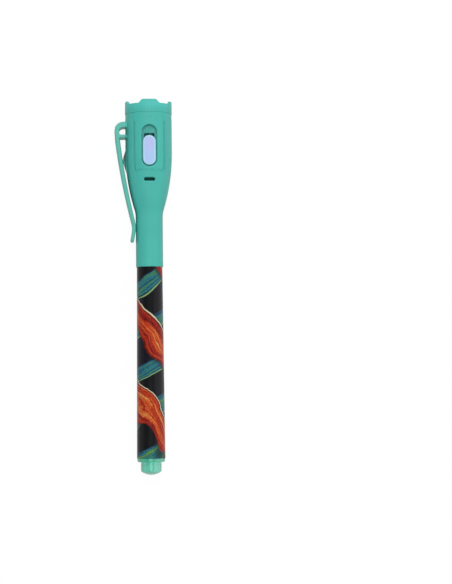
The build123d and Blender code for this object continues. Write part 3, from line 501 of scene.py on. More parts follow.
@dataclass(frozen=True)
class CapPlastic(MouldedPlastic):
    """Plastic of the cap, spark-textured, with painted shade in the switch recess, the grooves, the
    side behind the clip and on the nub, a painted highlight on the crown and painted light in the
    clip.
    """

    recess_middle: float = 112.465
    recess_half: float = 4.725
    recess_edge: Span = (2.65, 2.85)
    recess_back: Span = (5.0, 6.0)
    recess_floor: Span = (7.3, 7.6)
    # painted shade: the recess floor and its walls are painted darker, most under the wall
    recess_wall: Span = (1.6, 2.6)
    wall_shade: float = 0.72
    spark_scale: float = 3.4
    spark_span: Span = (0.35, 0.65)
    spark_and_shade_tone: Span = (0.64, 0.88)
    head_radius: float = 8.36
    # painted shade: the four grooves of the head are painted darker
    groove_turn: float = 0.1155
    groove_side: Span = (0.3, 0.72)
    groove_low: Span = (102.8, 104.0)
    groove_high: Span = (120.4, 121.6)
    groove_shade: float = 0.82
    # painted shade: the nub under the clip is painted dark grey
    nub_low: Span = (102.0, 104.5)
    nub_high: Span = (110.5, 112.5)
    nub_side: Span = (2.02, 2.06)
    nub_root: Span = (8.1, 8.4)
    nub_tip: Span = (9.3, 9.42)
    nub_shade_tint: Colour = (0.33, 0.16, 0.185)
    # painted highlight: the top of the crown is painted lighter
    crown_highlight_span: Span = (125.4, 127.2)
    crown_highlight_tint: Colour = (1.25, 1.14, 1.17)
    # painted shade on the side of the head behind the clip
    side_turn: float = -0.25
    side_half: Span = (0.04, 0.09)
    side_low: Span = (84.0, 88.0)
    side_high: Span = (118.2, 120.2)
    side_shade: float = 0.66
    clip_base: float = 83.775
    clip_slope: float = 0.18
    clip_toe: float = 4.5
    clip_inner: Span = (5.0, 9.4)
    clip_edge: Span = (0.0, 0.2)
    # painted light: the thin clip strap is painted lighter, standing in for light through it
    clip_painted_light: Colour = (1.72, 1.035, 1.0)
    arch_root: Span = (112.5, 113.5)
    arch_inner: float = 8.45

    def recess(self, graph: Graph, axes: Sockets) -> Socket:
        """Finds the painted shade of the recess floor, darkest under its wall and broken up by
        sparks.

        Args:
            graph: The material's graph.
            axes: Outputs of the pen's axes.

        Returns:
            The tone, one outside the recess.
        """
        place = axes["Place"]
        slot = RoundSlotGroup.place_in(graph, place, self.recess_middle, self.recess_half)
        floor = graph.between(slot["Front"], self.recess_back, self.recess_floor)
        mask = graph.times(graph.fall(slot["Distance"], self.recess_edge), floor)
        # painted shade of the recess, broken up by the spark texture
        sparks_and_shade = graph.noise(place, self.spark_scale, detail=1.0)
        sparks_and_shade = graph.spread(sparks_and_shade, self.spark_span, *self.spark_and_shade_tone)
        wall = graph.spread(slot["Distance"], self.recess_wall, 1.0, self.wall_shade)
        return graph.line(mask, graph.minus(graph.times(sparks_and_shade, wall), 1.0), 1.0)

    def grooves(self, graph: Graph, axes: Sockets) -> Socket:
        """Finds the painted shade in the four shallow grooves of the head.

        Args:
            graph: The material's graph.
            axes: Outputs of the pen's axes.

        Returns:
            The tone, one outside the grooves.
        """
        turn = graph.gap(axes["Around"])
        turn = graph.math("MINIMUM", turn, graph.minus(0.5, turn))
        off = graph.times(graph.gap(turn, self.groove_turn), FULL_TURN * self.head_radius)
        length = graph.between(axes["Height"], self.groove_low, self.groove_high)
        mask = graph.times(length, graph.fall(off, self.groove_side))
        return graph.line(mask, self.groove_shade - 1.0, 1.0)

    def nub_shade_mask(self, graph: Graph, axes: Sockets) -> Socket:
        """Finds the nub under the clip, which is painted dark grey as painted shade.

        Args:
            graph: The material's graph.
            axes: Outputs of the pen's axes.

        Returns:
            The mask.
        """
        x, y, z = graph.parts(axes["Place"])
        length = graph.between(z, self.nub_low, self.nub_high)
        width = graph.fall(graph.gap(y), self.nub_side)
        depth = graph.between(graph.times(x, -1.0), self.nub_root, self.nub_tip)
        return graph.times(length, width, depth)

    def clip_side_shade(self, graph: Graph, axes: Sockets) -> Socket:
        """Finds the painted shade on the side of the head behind the clip.

        Args:
            graph: The material's graph.
            axes: Outputs of the pen's axes.

        Returns:
            The tone, one elsewhere.
        """
        width = graph.fall(graph.gap(axes["Around"], self.side_turn), self.side_half)
        length = graph.between(axes["Height"], self.side_low, self.side_high)
        return graph.line(graph.times(width, length), self.side_shade - 1.0, 1.0)

    def clip_mask(self, graph: Graph, axes: Sockets) -> Socket:
        """Finds the clip: what lies further out than the line between it and the head.

        Args:
            graph: The material's graph.
            axes: Outputs of the pen's axes.

        Returns:
            The mask.
        """
        x, _, z = graph.parts(axes["Place"])
        least, most = self.clip_inner
        inner = graph.line(graph.minus(z, self.clip_base), self.clip_slope, self.clip_toe)
        limit = graph.spread(z, self.arch_root, most, self.arch_inner)
        inner = graph.math("MAXIMUM", graph.math("MINIMUM", inner, limit), least)
        return graph.rise(graph.minus(graph.times(x, -1.0), inner), self.clip_edge)

    def tint(self, graph: Graph, axes: Sockets, colour: Feed) -> Socket:
        """Paints shade into the recess, the grooves and the side behind the clip, a dark painted
        shade on the nub, a painted highlight on the crown's top and painted light in the thin clip.

        Args:
            graph: The material's graph.
            axes: Outputs of the pen's axes.
            colour: The plain colour.

        Returns:
            The colour.
        """
        # painted shade of the recess, the grooves and the side behind the clip
        painted_shades = [tone(graph, axes) for tone in (self.recess, self.grooves, self.clip_side_shade)]
        shell = graph.tinted(colour, graph.times(*painted_shades))
        # painted shade on the nub, painted highlight on the crown and painted light in the clip
        painted_tints = (
            (self.nub_shade_mask(graph, axes), self.nub_shade_tint),
            (graph.rise(axes["Height"], self.crown_highlight_span), self.crown_highlight_tint),
            (self.clip_mask(graph, axes), self.clip_painted_light),
        )
        for mask, tint in painted_tints:
            shell = graph.mix(mask, shell, graph.tinted(colour, tint))
        return shell


@dataclass(frozen=True)
class ButtonPlastic(MouldedPlastic):
    """Milky plastic of the slide button, with its rounded edge painted paler and bluer as painted
    light for the thin rim.
    """

    bloom: Colour = srgb(188, 198, 246)
    bloom_height: Span = (109.5, 112.5)
    bloom_least: float = 0.15
    cloud_scale: float = 0.3
    cloud_span: Span = (0.36, 0.62)
    # painted light: the pale rim colour stands in for light caught by the thin rounded edge
    edge: Colour = srgb(180, 232, 254)
    edge_reach: Span = (1.5, 2.1)
    middle: float = 110.765
    half: float = 3.025

    def tint(self, graph: Graph, axes: Sockets, colour: Feed) -> Socket:
        """Clouds the middle with lilac and blends to a paler painted-light colour round the
        button's edge.

        Args:
            graph: The material's graph.
            axes: Outputs of the pen's axes.
            colour: The plain colour.

        Returns:
            The colour.
        """
        cloud = graph.rise(graph.noise(axes["Place"], self.cloud_scale), self.cloud_span)
        high = graph.spread(axes["Height"], self.bloom_height, self.bloom_least, 1.0)
        colour = graph.mix(graph.times(cloud, high), colour, self.bloom)
        slot = RoundSlotGroup.place_in(graph, axes["Place"], self.middle, self.half)
        return graph.mix(graph.rise(slot["Distance"], self.edge_reach), colour, self.edge)


@dataclass(frozen=True)
class TailPlastic(MouldedPlastic):
    """Clear-coloured plastic of the tail plug, with its hollow stub painted paler as painted light
    through it, and palest at the root, where painted light cancels the flange's shadow.
    """

    # painted light: the stub is painted paler, and the root palest to lift the flange's shadow
    stub_painted_light: Colour = srgb(92, 204, 175)
    root_painted_light: Colour = srgb(104, 248, 220)
    root_height: Span = (-1.0, 0.0)
    flange_height: Span = (-0.1, 0.0)

    def tint(self, graph: Graph, axes: Sockets, colour: Feed) -> Socket:
        """Blends from the flange to the painted-light colours of the root and the end of the stub.
        """
        stub_painted_light = graph.mix(graph.rise(axes["Height"], self.root_height), self.stub_painted_light, self.root_painted_light)
        return graph.mix(graph.fall(axes["Height"], self.flange_height), colour, stub_painted_light)


@dataclass(frozen=True)
class RibbonBand:
    """One family of printed ribbons that wind round the barrel."""

    rows: float
    turns: float
    shift: float
    width: float
    wander: float
    strands: float
    stops: tuple[tuple[float, Colour], ...]


@dataclass(frozen=True)
class RibbonMarks:
    """What a family of ribbons gives at a surface point."""

    across: Socket
    mask: Socket
    colour: Socket


COOL_RIBBONS = RibbonBand(
    rows=2.0,
    turns=-1.0,
    shift=0.32,
    width=0.36,
    wander=0.5,
    strands=3.2,
    stops=(
        (0.24, srgb(10, 22, 40)),
        (0.4, srgb(24, 72, 108)),
        (0.5, srgb(40, 118, 126)),
        (0.6, srgb(62, 120, 62)),
        (0.74, srgb(128, 158, 72)),
    ),
)
WARM_RIBBONS = RibbonBand(
    rows=1.0,
    turns=1.0,
    shift=0.0,
    width=0.44,
    wander=0.6,
    strands=4.5,
    stops=(
        (0.24, srgb(52, 10, 12)),
        (0.42, srgb(140, 24, 14)),
        (0.54, srgb(186, 56, 22)),
        (0.66, srgb(208, 112, 48)),
        (0.8, srgb(222, 178, 112)),
    ),
)


@dataclass(frozen=True)
class PrintedFilm(Finish):
    """Glossy near-black film with a print of winding ribbons and piping."""

    slot: Slot = Slot.FILM
    ground: Colour = srgb(9, 10, 13)
    dusk: Colour = srgb(16, 18, 40)
    cream: Colour = srgb(216, 204, 172)
    leaf: Colour = srgb(132, 170, 108)
    cloud_scale: float = 0.14
    cloud_span: Span = (0.45, 0.75)
    pitch: float = 31.0
    waver_scale: float = 0.06
    ripple_scale: float = 0.3
    ripple: float = 0.1
    edge: Span = (0.95, 1.0)
    edge_shade: float = -0.16
    strand_warp: float = 0.7
    fleck_scale: float = 1.7
    fleck: float = 0.34
    lift: float = 0.04
    shadow: Span = (1.0, 1.3)
    shadow_depth: float = 0.75
    leaf_line: float = 0.1
    cream_line: float = 0.07
    fineness: float = 2.0
    roughness: float = 0.3
    specular: float = 0.16

    def ribbons(self, graph: Graph, axes: Sockets, band: RibbonBand) -> RibbonMarks:
        """Draws one family of ribbons.

        Args:
            graph: The material's graph.
            axes: Outputs of the pen's axes.
            band: The family.

        Returns:
            The place across a ribbon, from -1 to 1 within it, with its mask and colour.
        """
        place = axes["Place"]
        climb = graph.math("DIVIDE", axes["Height"], self.pitch)
        turned = graph.times(axes["Around"], band.turns)
        waver = graph.swing(place, self.waver_scale, detail=1.0)
        ripple = graph.swing(place, self.ripple_scale, detail=1.0)
        drift = graph.line(waver, band.wander, graph.times(ripple, self.ripple * band.wander))
        phase = graph.math("ADD", graph.line(climb, band.rows, turned), drift)
        phase = graph.math("ADD", phase, band.shift)
        breadth = graph.line(waver, band.width / 2, band.width / 2)
        middle = graph.minus(graph.math("FRACT", phase), 0.5)
        across = graph.math("DIVIDE", middle, breadth)
        along = graph.minus(climb, turned)
        flow = {0: graph.times(across, band.strands), 1: along, 2: phase}
        flow = graph.add("ShaderNodeCombineXYZ", flow).outputs[0]
        strand = graph.noise(flow, 1.0, detail=5.0, warp=self.strand_warp)
        body = graph.line(graph.times(across, across), self.edge_shade, strand)
        fleck = graph.swing(place, self.fleck_scale, detail=3.0)
        tone = graph.line(fleck, self.fleck, graph.math("ADD", body, self.lift))
        mask = graph.fall(graph.gap(across), self.edge)
        return RibbonMarks(across, mask, graph.ramp(tone, band.stops))

    @staticmethod
    def piping(graph: Graph, marks: RibbonMarks, place: float, width: float) -> Socket:
        """Mask of a thin line that runs along a ribbon, at a place across it."""
        return graph.fall(graph.gap(marks.across, place), (width / 2, width))

    def dress(self, graph: Graph, shader: Node) -> None:
        """Builds the print from the ground up, and the film's gloss.

        Args:
            graph: The material's graph.
            shader: Its Principled shader.
        """
        axes = PenAxesGroup.place_in(graph)
        cloud = graph.noise(axes["Place"], self.cloud_scale, detail=3.0)
        cool = self.ribbons(graph, axes, COOL_RIBBONS)
        warm = self.ribbons(graph, axes, WARM_RIBBONS)
        shadow = graph.spread(graph.gap(warm.across), self.shadow, self.shadow_depth, 0.0)
        layers = (
            (graph.rise(cloud, self.cloud_span), self.dusk),
            (cool.mask, cool.colour),
            (self.piping(graph, cool, -1.0, self.leaf_line), self.leaf),
            (shadow, self.ground),
            (warm.mask, warm.colour),
            (self.piping(graph, warm, 1.0, self.cream_line), self.cream),
        )
        colour: Feed = self.ground
        for mask, ink in layers:
            colour = graph.mix(mask, colour, ink)
        marks = MouldGrainGroup.place_in(graph, axes["Place"], self.fineness, 0.0)
        inputs = {
            "Base Color": colour,
            "Roughness": graph.math("ADD", marks["Gloss"], self.roughness, clamp=True),
            "Specular IOR Level": self.specular,
        }
        graph.fill(shader, inputs)


@dataclass(frozen=True)
class BareMetal(Finish):
    """Plated or bright metal with fine scratches."""

    slot: Slot
    colour: Colour
    roughness: float
    scratch: float = 0.08
    scratch_scale: float = 2.2
    drawn: Triple = (1.0, 1.0, 9.0)

    def dress(self, graph: Graph, shader: Node) -> None:
        """Sets the metal's colour and its uneven gloss.

        Args:
            graph: The material's graph.
            shader: Its Principled shader.
        """
        place = graph.scaled(PenAxesGroup.place_in(graph)["Place"], self.drawn)
        lines = graph.noise(place, self.scratch_scale, detail=3.0)
        rough = graph.math("MULTIPLY_ADD", lines, self.scratch, self.roughness, clamp=True)
        graph.fill(shader, {"Base Color": self.colour, "Roughness": rough, "Metallic": 1.0})


@dataclass(frozen=True)
class BrightBowl(BareMetal):
    """Reflector with a plated bowl on a neck of bare plastic, painted pale aqua as painted light
    for the shaded slit in front of it.
    """

    # painted light: the neck's pale aqua stands in for light reaching the slit in front of it
    neck: Colour = srgb(130, 235, 245)
    throat: Span = (118.3, 118.5)

    def dress(self, graph: Graph, shader: Node) -> None:
        """Plates what lies above the throat.

        Args:
            graph: The material's graph.
            shader: Its Principled shader.
        """
        super().dress(graph, shader)
        plated = graph.rise(PenAxesGroup.place_in(graph)["Height"], self.throat)
        # the neck below the throat gets the painted-light colour
        colour = graph.mix(plated, self.neck, self.colour)
        graph.fill(shader, {"Base Color": colour, "Metallic": plated})


@dataclass(frozen=True)
class Fibre(Finish):
    """Felted fibre, drawn along the pen."""

    slot: Slot = Slot.FIBRE
    pale: Colour = srgb(240, 239, 228)
    deep: Colour = srgb(210, 205, 187)
    drawn: Triple = (9.0, 9.0, 0.7)
    warp: float = 0.4
    strand_span: Span = (0.3, 0.6)
    strand_height: float = 0.03
    roughness: float = 0.9

    def dress(self, graph: Graph, shader: Node) -> None:
        """Sets the fibre's strands in colour and height.

        Args:
            graph: The material's graph.
            shader: Its Principled shader.
        """
        place = graph.scaled(PenAxesGroup.place_in(graph)["Place"], self.drawn)
        strands = graph.noise(place, 1.0, detail=4.0, warp=self.warp)
        bump = {"Distance": self.strand_height * MM, "Height": strands}
        inputs = {
            "Base Color": graph.mix(graph.rise(strands, self.strand_span), self.deep, self.pale),
            "Normal": graph.add("ShaderNodeBump", bump).outputs[0],
            "Roughness": self.roughness,
        }
        graph.fill(shader, inputs)


@dataclass(frozen=True)
class ClearEpoxy(Finish):
    """Water-clear epoxy of the lamp."""

    slot: Slot = Slot.LENS
    colour: Colour = srgb(244, 240, 252)
    roughness: float = 0.03
    index: float = 1.53

    def dress(self, graph: Graph, shader: Node) -> None:
        """Sets plain clear glass values."""
        clear = {"IOR": self.index, "Transmission Weight": 1.0}
        graph.fill(shader, {"Base Color": self.colour, "Roughness": self.roughness, **clear})


FINISHES: tuple[Finish, ...] = (
    CapPlastic(Slot.CAP, srgb(73, 186, 174), 0.42, specular=0.32),
    TailPlastic(
        Slot.TAIL, srgb(41, 180, 146), 0.09, grain=0.0001, specular=1.0, translucent=0.25
    ),
    MouldedPlastic(
        Slot.NOSE,
        srgb(160, 238, 210),
        0.09,
        grain=0.0005,
        specular=0.8,
        translucent=0.5,
        clear=0.25,
    ),
    ButtonPlastic(Slot.BUTTON, srgb(175, 205, 246), 0.3, grain=0.002, specular=0.4),
    PrintedFilm(),
    Fibre(),
    MouldedPlastic(Slot.CORE_FILM, srgb(236, 236, 232), 0.5),
    MouldedPlastic(Slot.SEAL, srgb(226, 232, 226), 0.45, translucent=0.4),
    MouldedPlastic(Slot.BLACK, srgb(8, 92, 80), 0.5, specular=0.2),
    BareMetal(Slot.CELL, srgb(206, 206, 202), 0.24),
    BareMetal(Slot.SPRING, srgb(208, 204, 190), 0.22),
    BareMetal(Slot.LEAD, srgb(200, 202, 206), 0.3),
    BrightBowl(Slot.REFLECTOR, srgb(238, 240, 243), 0.2, scratch=0.03),
    ClearEpoxy(),
)


class Paintbox:
    """Keeps one material for each slot."""

    def __init__(self, finishes: Iterable[Finish]) -> None:
        """Makes the materials."""
        self.materials = {finish.slot: finish.make() for finish in finishes}

    def paint(self, piece: Piece, slot: Slot) -> None:
        """Gives a piece the material of a slot and nothing else."""
        piece.data.materials.clear()
        piece.data.materials.append(self.materials[slot])


class Workbench:
    """Models new pieces on the pen's axes in millimetres and settles them on the table."""

    WELD = 1e-5

    def __init__(self, axes: PenAxes, paint: Paintbox) -> None:
        """Takes the pen's axes and the finishes."""
        self.axes = axes
        self.paintbox = paint

    @staticmethod
    def clear() -> None:
        """Deselects everything before a new primitive."""
        bpy.ops.object.select_all(action="DESELECT")

    @staticmethod
    def select() -> None:
        """Opens the piece for editing, with all of it selected."""
        bpy.ops.object.mode_set(mode="EDIT")
        bpy.ops.mesh.select_all(action="SELECT")

    def start(self) -> Piece:
        """Puts a new primitive's place in its mesh and opens it for editing.

        Returns:
            The new piece, with all of it selected.
        """
        bpy.ops.object.transform_apply(location=True, rotation=True, scale=True)
        self.select()
        return bpy.context.object

    @staticmethod
    def extrude(step: Triple | Vector) -> None:
        """Extrudes what is selected by a step."""
        bpy.ops.mesh.extrude_region_move(TRANSFORM_OT_translate={"value": step})

    @staticmethod
    def stretch(scale: Triple, centre: Triple | Vector) -> None:
        """Scales what is selected about a centre."""
        bpy.ops.transform.resize(value=scale, center_override=centre)

    def face_out(self) -> None:
        """Turns all faces outwards."""
        self.select()
        bpy.ops.mesh.normals_make_consistent(inside=False)

    @staticmethod
    def apply(piece: Piece, kind: str, **settings: Any) -> None:
        """Adds a modifier and applies it.

        Args:
            piece: The piece.
            kind: The modifier's type.
            **settings: Its properties.
        """
        bpy.ops.object.mode_set(mode="OBJECT")
        modifier = piece.modifiers.new(kind.lower(), kind)
        for name, value in settings.items():
            setattr(modifier, name, value)
        bpy.context.view_layer.objects.active = piece
        bpy.ops.object.modifier_apply(modifier=modifier.name)

    def round_edges(self, piece: Piece, width: float, segments: int, least_deg: float) -> None:
        """Rounds the edges that turn by more than an angle."""
        sharp = {"limit_method": "ANGLE", "angle_limit": math.radians(least_deg)}
        self.apply(piece, "BEVEL", width=width, segments=segments, **sharp)

    def settle(self, piece: Piece, name: str, slot: Slot, smooth_deg: float = 30.0) -> Piece:
        """Moves a finished piece from the pen's axes to the table and paints it.

        Args:
            piece: The piece, in millimetres on the pen's axes.
            name: Its name.
            slot: Its material slot.
            smooth_deg: Edges flatter than this are shaded smooth.

        Returns:
            The piece, with its place in its mesh.
        """
        self.select()
        bpy.ops.mesh.remove_doubles(threshold=self.WELD)
        self.face_out()
        bpy.ops.object.mode_set(mode="OBJECT")
        piece.name = name
        piece.data.name = name
        piece.matrix_world = self.axes.matrix @ piece.matrix_world
        bpy.ops.object.transform_apply(location=True, rotation=True, scale=True)
        bpy.ops.object.shade_smooth_by_angle(angle=math.radians(smooth_deg))
        self.paintbox.paint(piece, slot)
        LOG.info("made %s, %d faces", name, len(piece.data.polygons))
        return piece


@dataclass(frozen=True)
class Station:
    """One cross-section of a strap: its middle, its tilt and its thickness."""

    reach: float
    height: float
    tilt: float
    thickness: float

    @property
    def middle(self) -> Vector:
        """Middle of the section on the pen's axes."""
        return Vector((-self.reach, 0.0, self.height))


@dataclass
class SpringClip:
    """Clip strap from the arch down to the turned-out toe, in one piece as it is moulded."""

    width: float = 6.0
    proud: float = 0.015
    edge: float = 0.6
    strap_top: float = 116.9
    strap_step: float = 1.0
    lean: float = 0.078
    flex_reach: float = 11.12
    flex_height: float = 114.85
    flex_above: float = 0.6
    flex_below: float = 1.6
    root_thickness: float = 1.66
    nub_height: float = 108.11
    nub_inner: float = 9.44
    toe_height: float = 83.775
    toe_inner: float = 4.67
    toe_thickness: float = 1.3
    tip_height: float = 78.5
    tip_inner: float = 5.6
    bend: float = 2.0
    bend_rows: tuple[float, ...] = (0.6, 0.3, 0.0, -0.3, -0.6, -1.0)
    steps: int = 26
    probe: float = 0.2

    @property
    def root_inner(self) -> float:
        """Distance of the inner side from the axis at the flex line."""
        return self.flex_reach - self.root_thickness / 2

    def bow(self, height: float) -> float:
        """Follows the arm's inner side on the arc through root, nub and toe.

        Args:
            height: Height on the pen's axes.

        Returns:
            Its distance from the axis.
        """
        knots = (
            (self.flex_height, self.root_inner),
            (self.nub_height, self.nub_inner),
            (self.toe_height, self.toe_inner),
        )
        total = 0.0
        for spot, reach in knots:
            shares = ((height - other) / (spot - other) for other, _ in knots if other != spot)
            total += reach * math.prod(shares)
        return total

    def inner(self, height: float) -> float:
        """Follows the clip's inner side from the strap's top to its tip.

        Args:
            height: Height on the pen's axes.

        Returns:
            Its distance from the axis.
        """
        if height >= self.flex_height:
            return self.root_inner + self.lean * (height - self.flex_height)
        slope = (self.tip_inner - self.toe_inner) / (self.tip_height - self.toe_height)
        if height <= self.toe_height - self.bend:
            return self.toe_inner + slope * (height - self.toe_height)
        if height >= self.toe_height + self.bend:
            return self.bow(height)
        share = (self.toe_height + self.bend - height) / (2 * self.bend)
        upper = self.bow(self.toe_height + self.bend)
        lower = self.toe_inner - slope * self.bend
        bent = 2 * share * (1 - share) * self.toe_inner
        return (1 - share) ** 2 * upper + bent + share**2 * lower

    def thickness(self, height: float) -> float:
        """Thins the strap evenly from the flex line to the toe.

        Args:
            height: Height on the pen's axes.

        Returns:
            The thickness there.
        """
        share = (self.flex_height - height) / (self.flex_height - self.toe_height)
        share = min(max(share, 0.0), 1.0)
        taper = share * (self.toe_thickness - self.root_thickness)
        return self.root_thickness + taper + 2 * self.proud

    def stations(self) -> list[Station]:
        """Sets out cross-sections from the top of the strap to the tip.

        Returns:
            The cross-sections, in order.
        """
        heights = [self.strap_top, self.flex_height + self.strap_step, self.flex_height]
        run = self.flex_height - self.toe_height - self.bend
        heights += [self.flex_height - run * row / self.steps for row in range(1, self.steps + 1)]
        heights += [self.toe_height + self.bend * share for share in self.bend_rows]
        heights += [(self.toe_height - self.bend + self.tip_height) / 2, self.tip_height]
        rows = []
        for height in heights:
            change = self.inner(height + self.probe) - self.inner(height - self.probe)
            thick = self.thickness(height)
            reach = self.inner(height) - self.proud + thick / 2
            rows.append(Station(reach, height, math.atan(change / (2 * self.probe)), thick))
        return rows

    def build(self, bench: Workbench) -> Piece:
        """Extrudes the strap section by section and rounds its edges.

        Args:
            bench: The workbench.

        Returns:
            The clip strap, which curves from the cap down to the arm.
        """
        rows = self.stations()
        bench.clear()
        bpy.ops.mesh.primitive_plane_add(size=1.0, location=rows[0].middle)
        piece = bench.start()
        bench.stretch((rows[0].thickness, self.width + 2 * self.proud, 1.0), rows[0].middle)
        for before, after in zip(rows, rows[1:]):
            bench.extrude(after.middle - before.middle)
            ratio = after.thickness / before.thickness
            bench.stretch((ratio, 1.0, ratio), after.middle)
            turn = after.tilt - before.tilt
            bpy.ops.transform.rotate(value=turn, orient_axis="Y", center_override=after.middle)
        bench.round_edges(piece, self.edge, segments=4, least_deg=50.0)
        bench.settle(piece, "clip_strap", Slot.CAP, smooth_deg=40.0)
        start = bench.axes.point(-self.flex_reach, 0.0, self.flex_height + self.flex_above)
        end = bench.axes.point(-self.flex_reach, 0.0, self.flex_height - self.flex_below)
        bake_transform(piece)
        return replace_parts(piece, "clip_arm")


@dataclass
class CapRim:
    """Crisp rim of the cap, which laps over the front edge of the printed film."""

    base: float = 69.5
    top: float = 72.0
    inner: float = 4.64
    outer: float = 4.862
    tuck: float = 0.03
    edge: float = 0.09
    steps: int = 96

    def build(self, bench: Workbench) -> Piece:
        """Draws up the outside of the rim, gives it a thickness and rounds its lower edge.

        Args:
            bench: The workbench.

        Returns:
            The rim, which rides on the cap.
        """
        low = (0.0, 0.0, self.base)
        bench.clear()
        bpy.ops.mesh.primitive_circle_add(vertices=self.steps, radius=self.outer, location=low)
        piece = bench.start()
        for narrow in (1.0, 1.0 - self.tuck / self.outer):
            bench.extrude((0.0, 0.0, (self.top - self.base) / 2))
            bench.stretch((narrow, narrow, 1.0), (0.0, 0.0, self.top))
        bench.face_out()
        bench.apply(piece, "SOLIDIFY", thickness=self.outer - self.inner, offset=-1.0)
        bench.round_edges(piece, self.edge, segments=3, least_deg=50.0)
        bench.settle(piece, "cap_rim", Slot.CAP, smooth_deg=40.0)
        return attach(piece, Body.CAP.value)


@dataclass
class FilmLap:
    """Glued lap of the printed film along the back of the barrel."""

    base: float = 1.4
    top: float = 69.4
    base_radius: float = 5.07
    top_radius: float = 4.576
    start_deg: float = 16.0
    turn_deg: float = 36.0
    steps: int = 12
    thickness: float = 0.05

    def build(self, bench: Workbench) -> Piece:
        """Spins a line on the film into a strip and gives it a thickness.

        Args:
            bench: The workbench.

        Returns:
            The lap, which rides on the pen.
        """
        start, turn = math.radians(self.start_deg), math.radians(self.turn_deg)
        outward = Vector((math.sin(start), math.cos(start), 0.0))
        rear = outward * self.base_radius + Vector((0.0, 0.0, self.base))
        front = outward * self.top_radius + Vector((0.0, 0.0, self.top))
        bench.clear()
        bpy.ops.mesh.primitive_plane_add(size=1.0, location=rear)
        piece = bench.start()
        bpy.ops.mesh.merge(type="CENTER")
        bench.extrude(front - rear)
        bench.select()
        middle, down = (0.0, 0.0, 0.0), (0.0, 0.0, -1.0)
        bpy.ops.mesh.spin(steps=self.steps, angle=turn, center=middle, axis=down)
        bench.face_out()
        bench.apply(piece, "SOLIDIFY", thickness=self.thickness, offset=1.0)
        bench.settle(piece, "film_lap", Slot.FILM, smooth_deg=40.0)
        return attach(piece, Body.PEN.value)


@dataclass
class LampInside:
    """Posts, cup and bond wire that show through the clear body of the lamp."""

    base: float = 113.5
    post_offset: float = 1.27
    post_width: float = 0.5
    neck: float = 1.6
    shoulder: float = 2.9
    head: float = 3.7
    edge: float = 0.06
    anvil_width: float = 1.15
    anvil_inner: float = 0.42
    flag_inner: float = 0.62
    cup_middle: float = -0.55
    cup_inset: float = 0.2
    cup_depth: float = 0.3
    cup_taper: float = 0.6
    wire_start: float = 1.0
    wire_rise: float = 0.5
    wire_radius: float = 0.045
    wire_sides: int = 8
    wire_steps: int = 14

    def post(self, bench: Workbench, side: float, inner: float, width: float) -> Piece:
        """Extrudes a square post that widens into a head towards the middle of the lamp.

        Args:
            bench: The workbench.
            side: Side of the pen's Y axis, 1 or -1.
            inner: How far the head reaches past the middle, or short of it when negative.
            width: Width of the head across the pen.

        Returns:
            The post with its top face selected, in edit mode.
        """
        foot = (0.0, side * self.post_offset, self.base)
        bench.clear()
        bpy.ops.mesh.primitive_plane_add(size=self.post_width, location=foot)
        piece = bench.start()
        bench.extrude((0.0, 0.0, self.neck))
        outer = self.post_offset + self.post_width / 2
        depth = outer + inner
        middle = side * (outer - depth / 2)
        bench.extrude((0.0, middle - side * self.post_offset, self.shoulder - self.neck))
        scale = (width / self.post_width, depth / self.post_width, 1.0)
        bench.stretch(scale, (0.0, middle, self.base + self.shoulder))
        bench.extrude((0.0, 0.0, self.head - self.shoulder))
        return piece

    def finish_post(self, bench: Workbench, piece: Piece, name: str) -> Piece:
        """Rounds a post's edges and settles it."""
        bench.round_edges(piece, self.edge, segments=2, least_deg=40.0)
        return bench.settle(piece, name, Slot.LEAD)

    def build(self, bench: Workbench) -> list[Piece]:
        """Makes the anvil with its cup, the other post and the bond wire.

        Args:
            bench: The workbench.

        Returns:
            The three pieces, which ride on the cap.
        """
        anvil = self.post(bench, -1.0, self.anvil_inner, self.anvil_width)
        bpy.ops.mesh.inset(thickness=self.cup_inset)
        bench.extrude((0.0, 0.0, -self.cup_depth))
        taper = (self.cup_taper, self.cup_taper, 1.0)
        bench.stretch(taper, (0.0, self.cup_middle, self.base + self.head))
        self.finish_post(bench, anvil, "lamp_anvil")
        flag = self.post(bench, 1.0, -self.flag_inner, self.post_width)
        self.finish_post(bench, flag, "lamp_post")
        return [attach(piece, Body.CAP.value) for piece in (anvil, flag, self.bond_wire(bench))]

    def bond_wire(self, bench: Workbench) -> Piece:
        """Spins a ring of wire over from the post to the cup.

        Args:
            bench: The workbench.

        Returns:
            The wire.
        """
        top = self.base + self.head
        end = (0.0, self.wire_start, top)
        middle = (0.0, (self.wire_start + self.cup_middle) / 2, top)
        bench.clear()
        bpy.ops.mesh.primitive_circle_add(
            vertices=self.wire_sides, radius=self.wire_radius, location=end
        )
        piece = bench.start()
        bpy.ops.mesh.spin(steps=self.wire_steps, angle=math.pi, center=middle, axis=(1.0, 0.0, 0.0))
        bench.select()
        bench.stretch((1.0, 1.0, self.wire_rise), middle)
        return bench.settle(piece, "bond_wire", Slot.LEAD, smooth_deg=60.0)


@dataclass(frozen=True)
class Lamp:
    """One soft lamp that shines on the pen from a direction on the pen's axes."""

    name: str
    way: Triple
    watts: float
    size: float = 0.45
    distance: float = 0.9

    def hang(self, axes: PenAxes, aim: Vector) -> None:
        """Adds the lamp.

        Args:
            axes: The pen's axes.
            aim: Where it points.
        """
        data = bpy.data.lights.new(self.name, "AREA")
        data.shape = "RECTANGLE"
        data.size = data.size_y = self.size
        data.energy = self.watts
        lamp = bpy.data.objects.new(self.name, data)
        way = axes.way(*self.way)
        across = axes.z.cross(way).normalized()
        turn = Matrix((across, way.cross(across), way)).transposed()
        lamp.matrix_world = Matrix.Translation(aim + way * self.distance) @ turn.to_4x4()
        bpy.context.scene.collection.objects.link(lamp)


@dataclass(frozen=True)
class Panel:
    """A bright side of the room: where it rises, in radians from the front, and its glow."""

    edge: Span
    glow: float


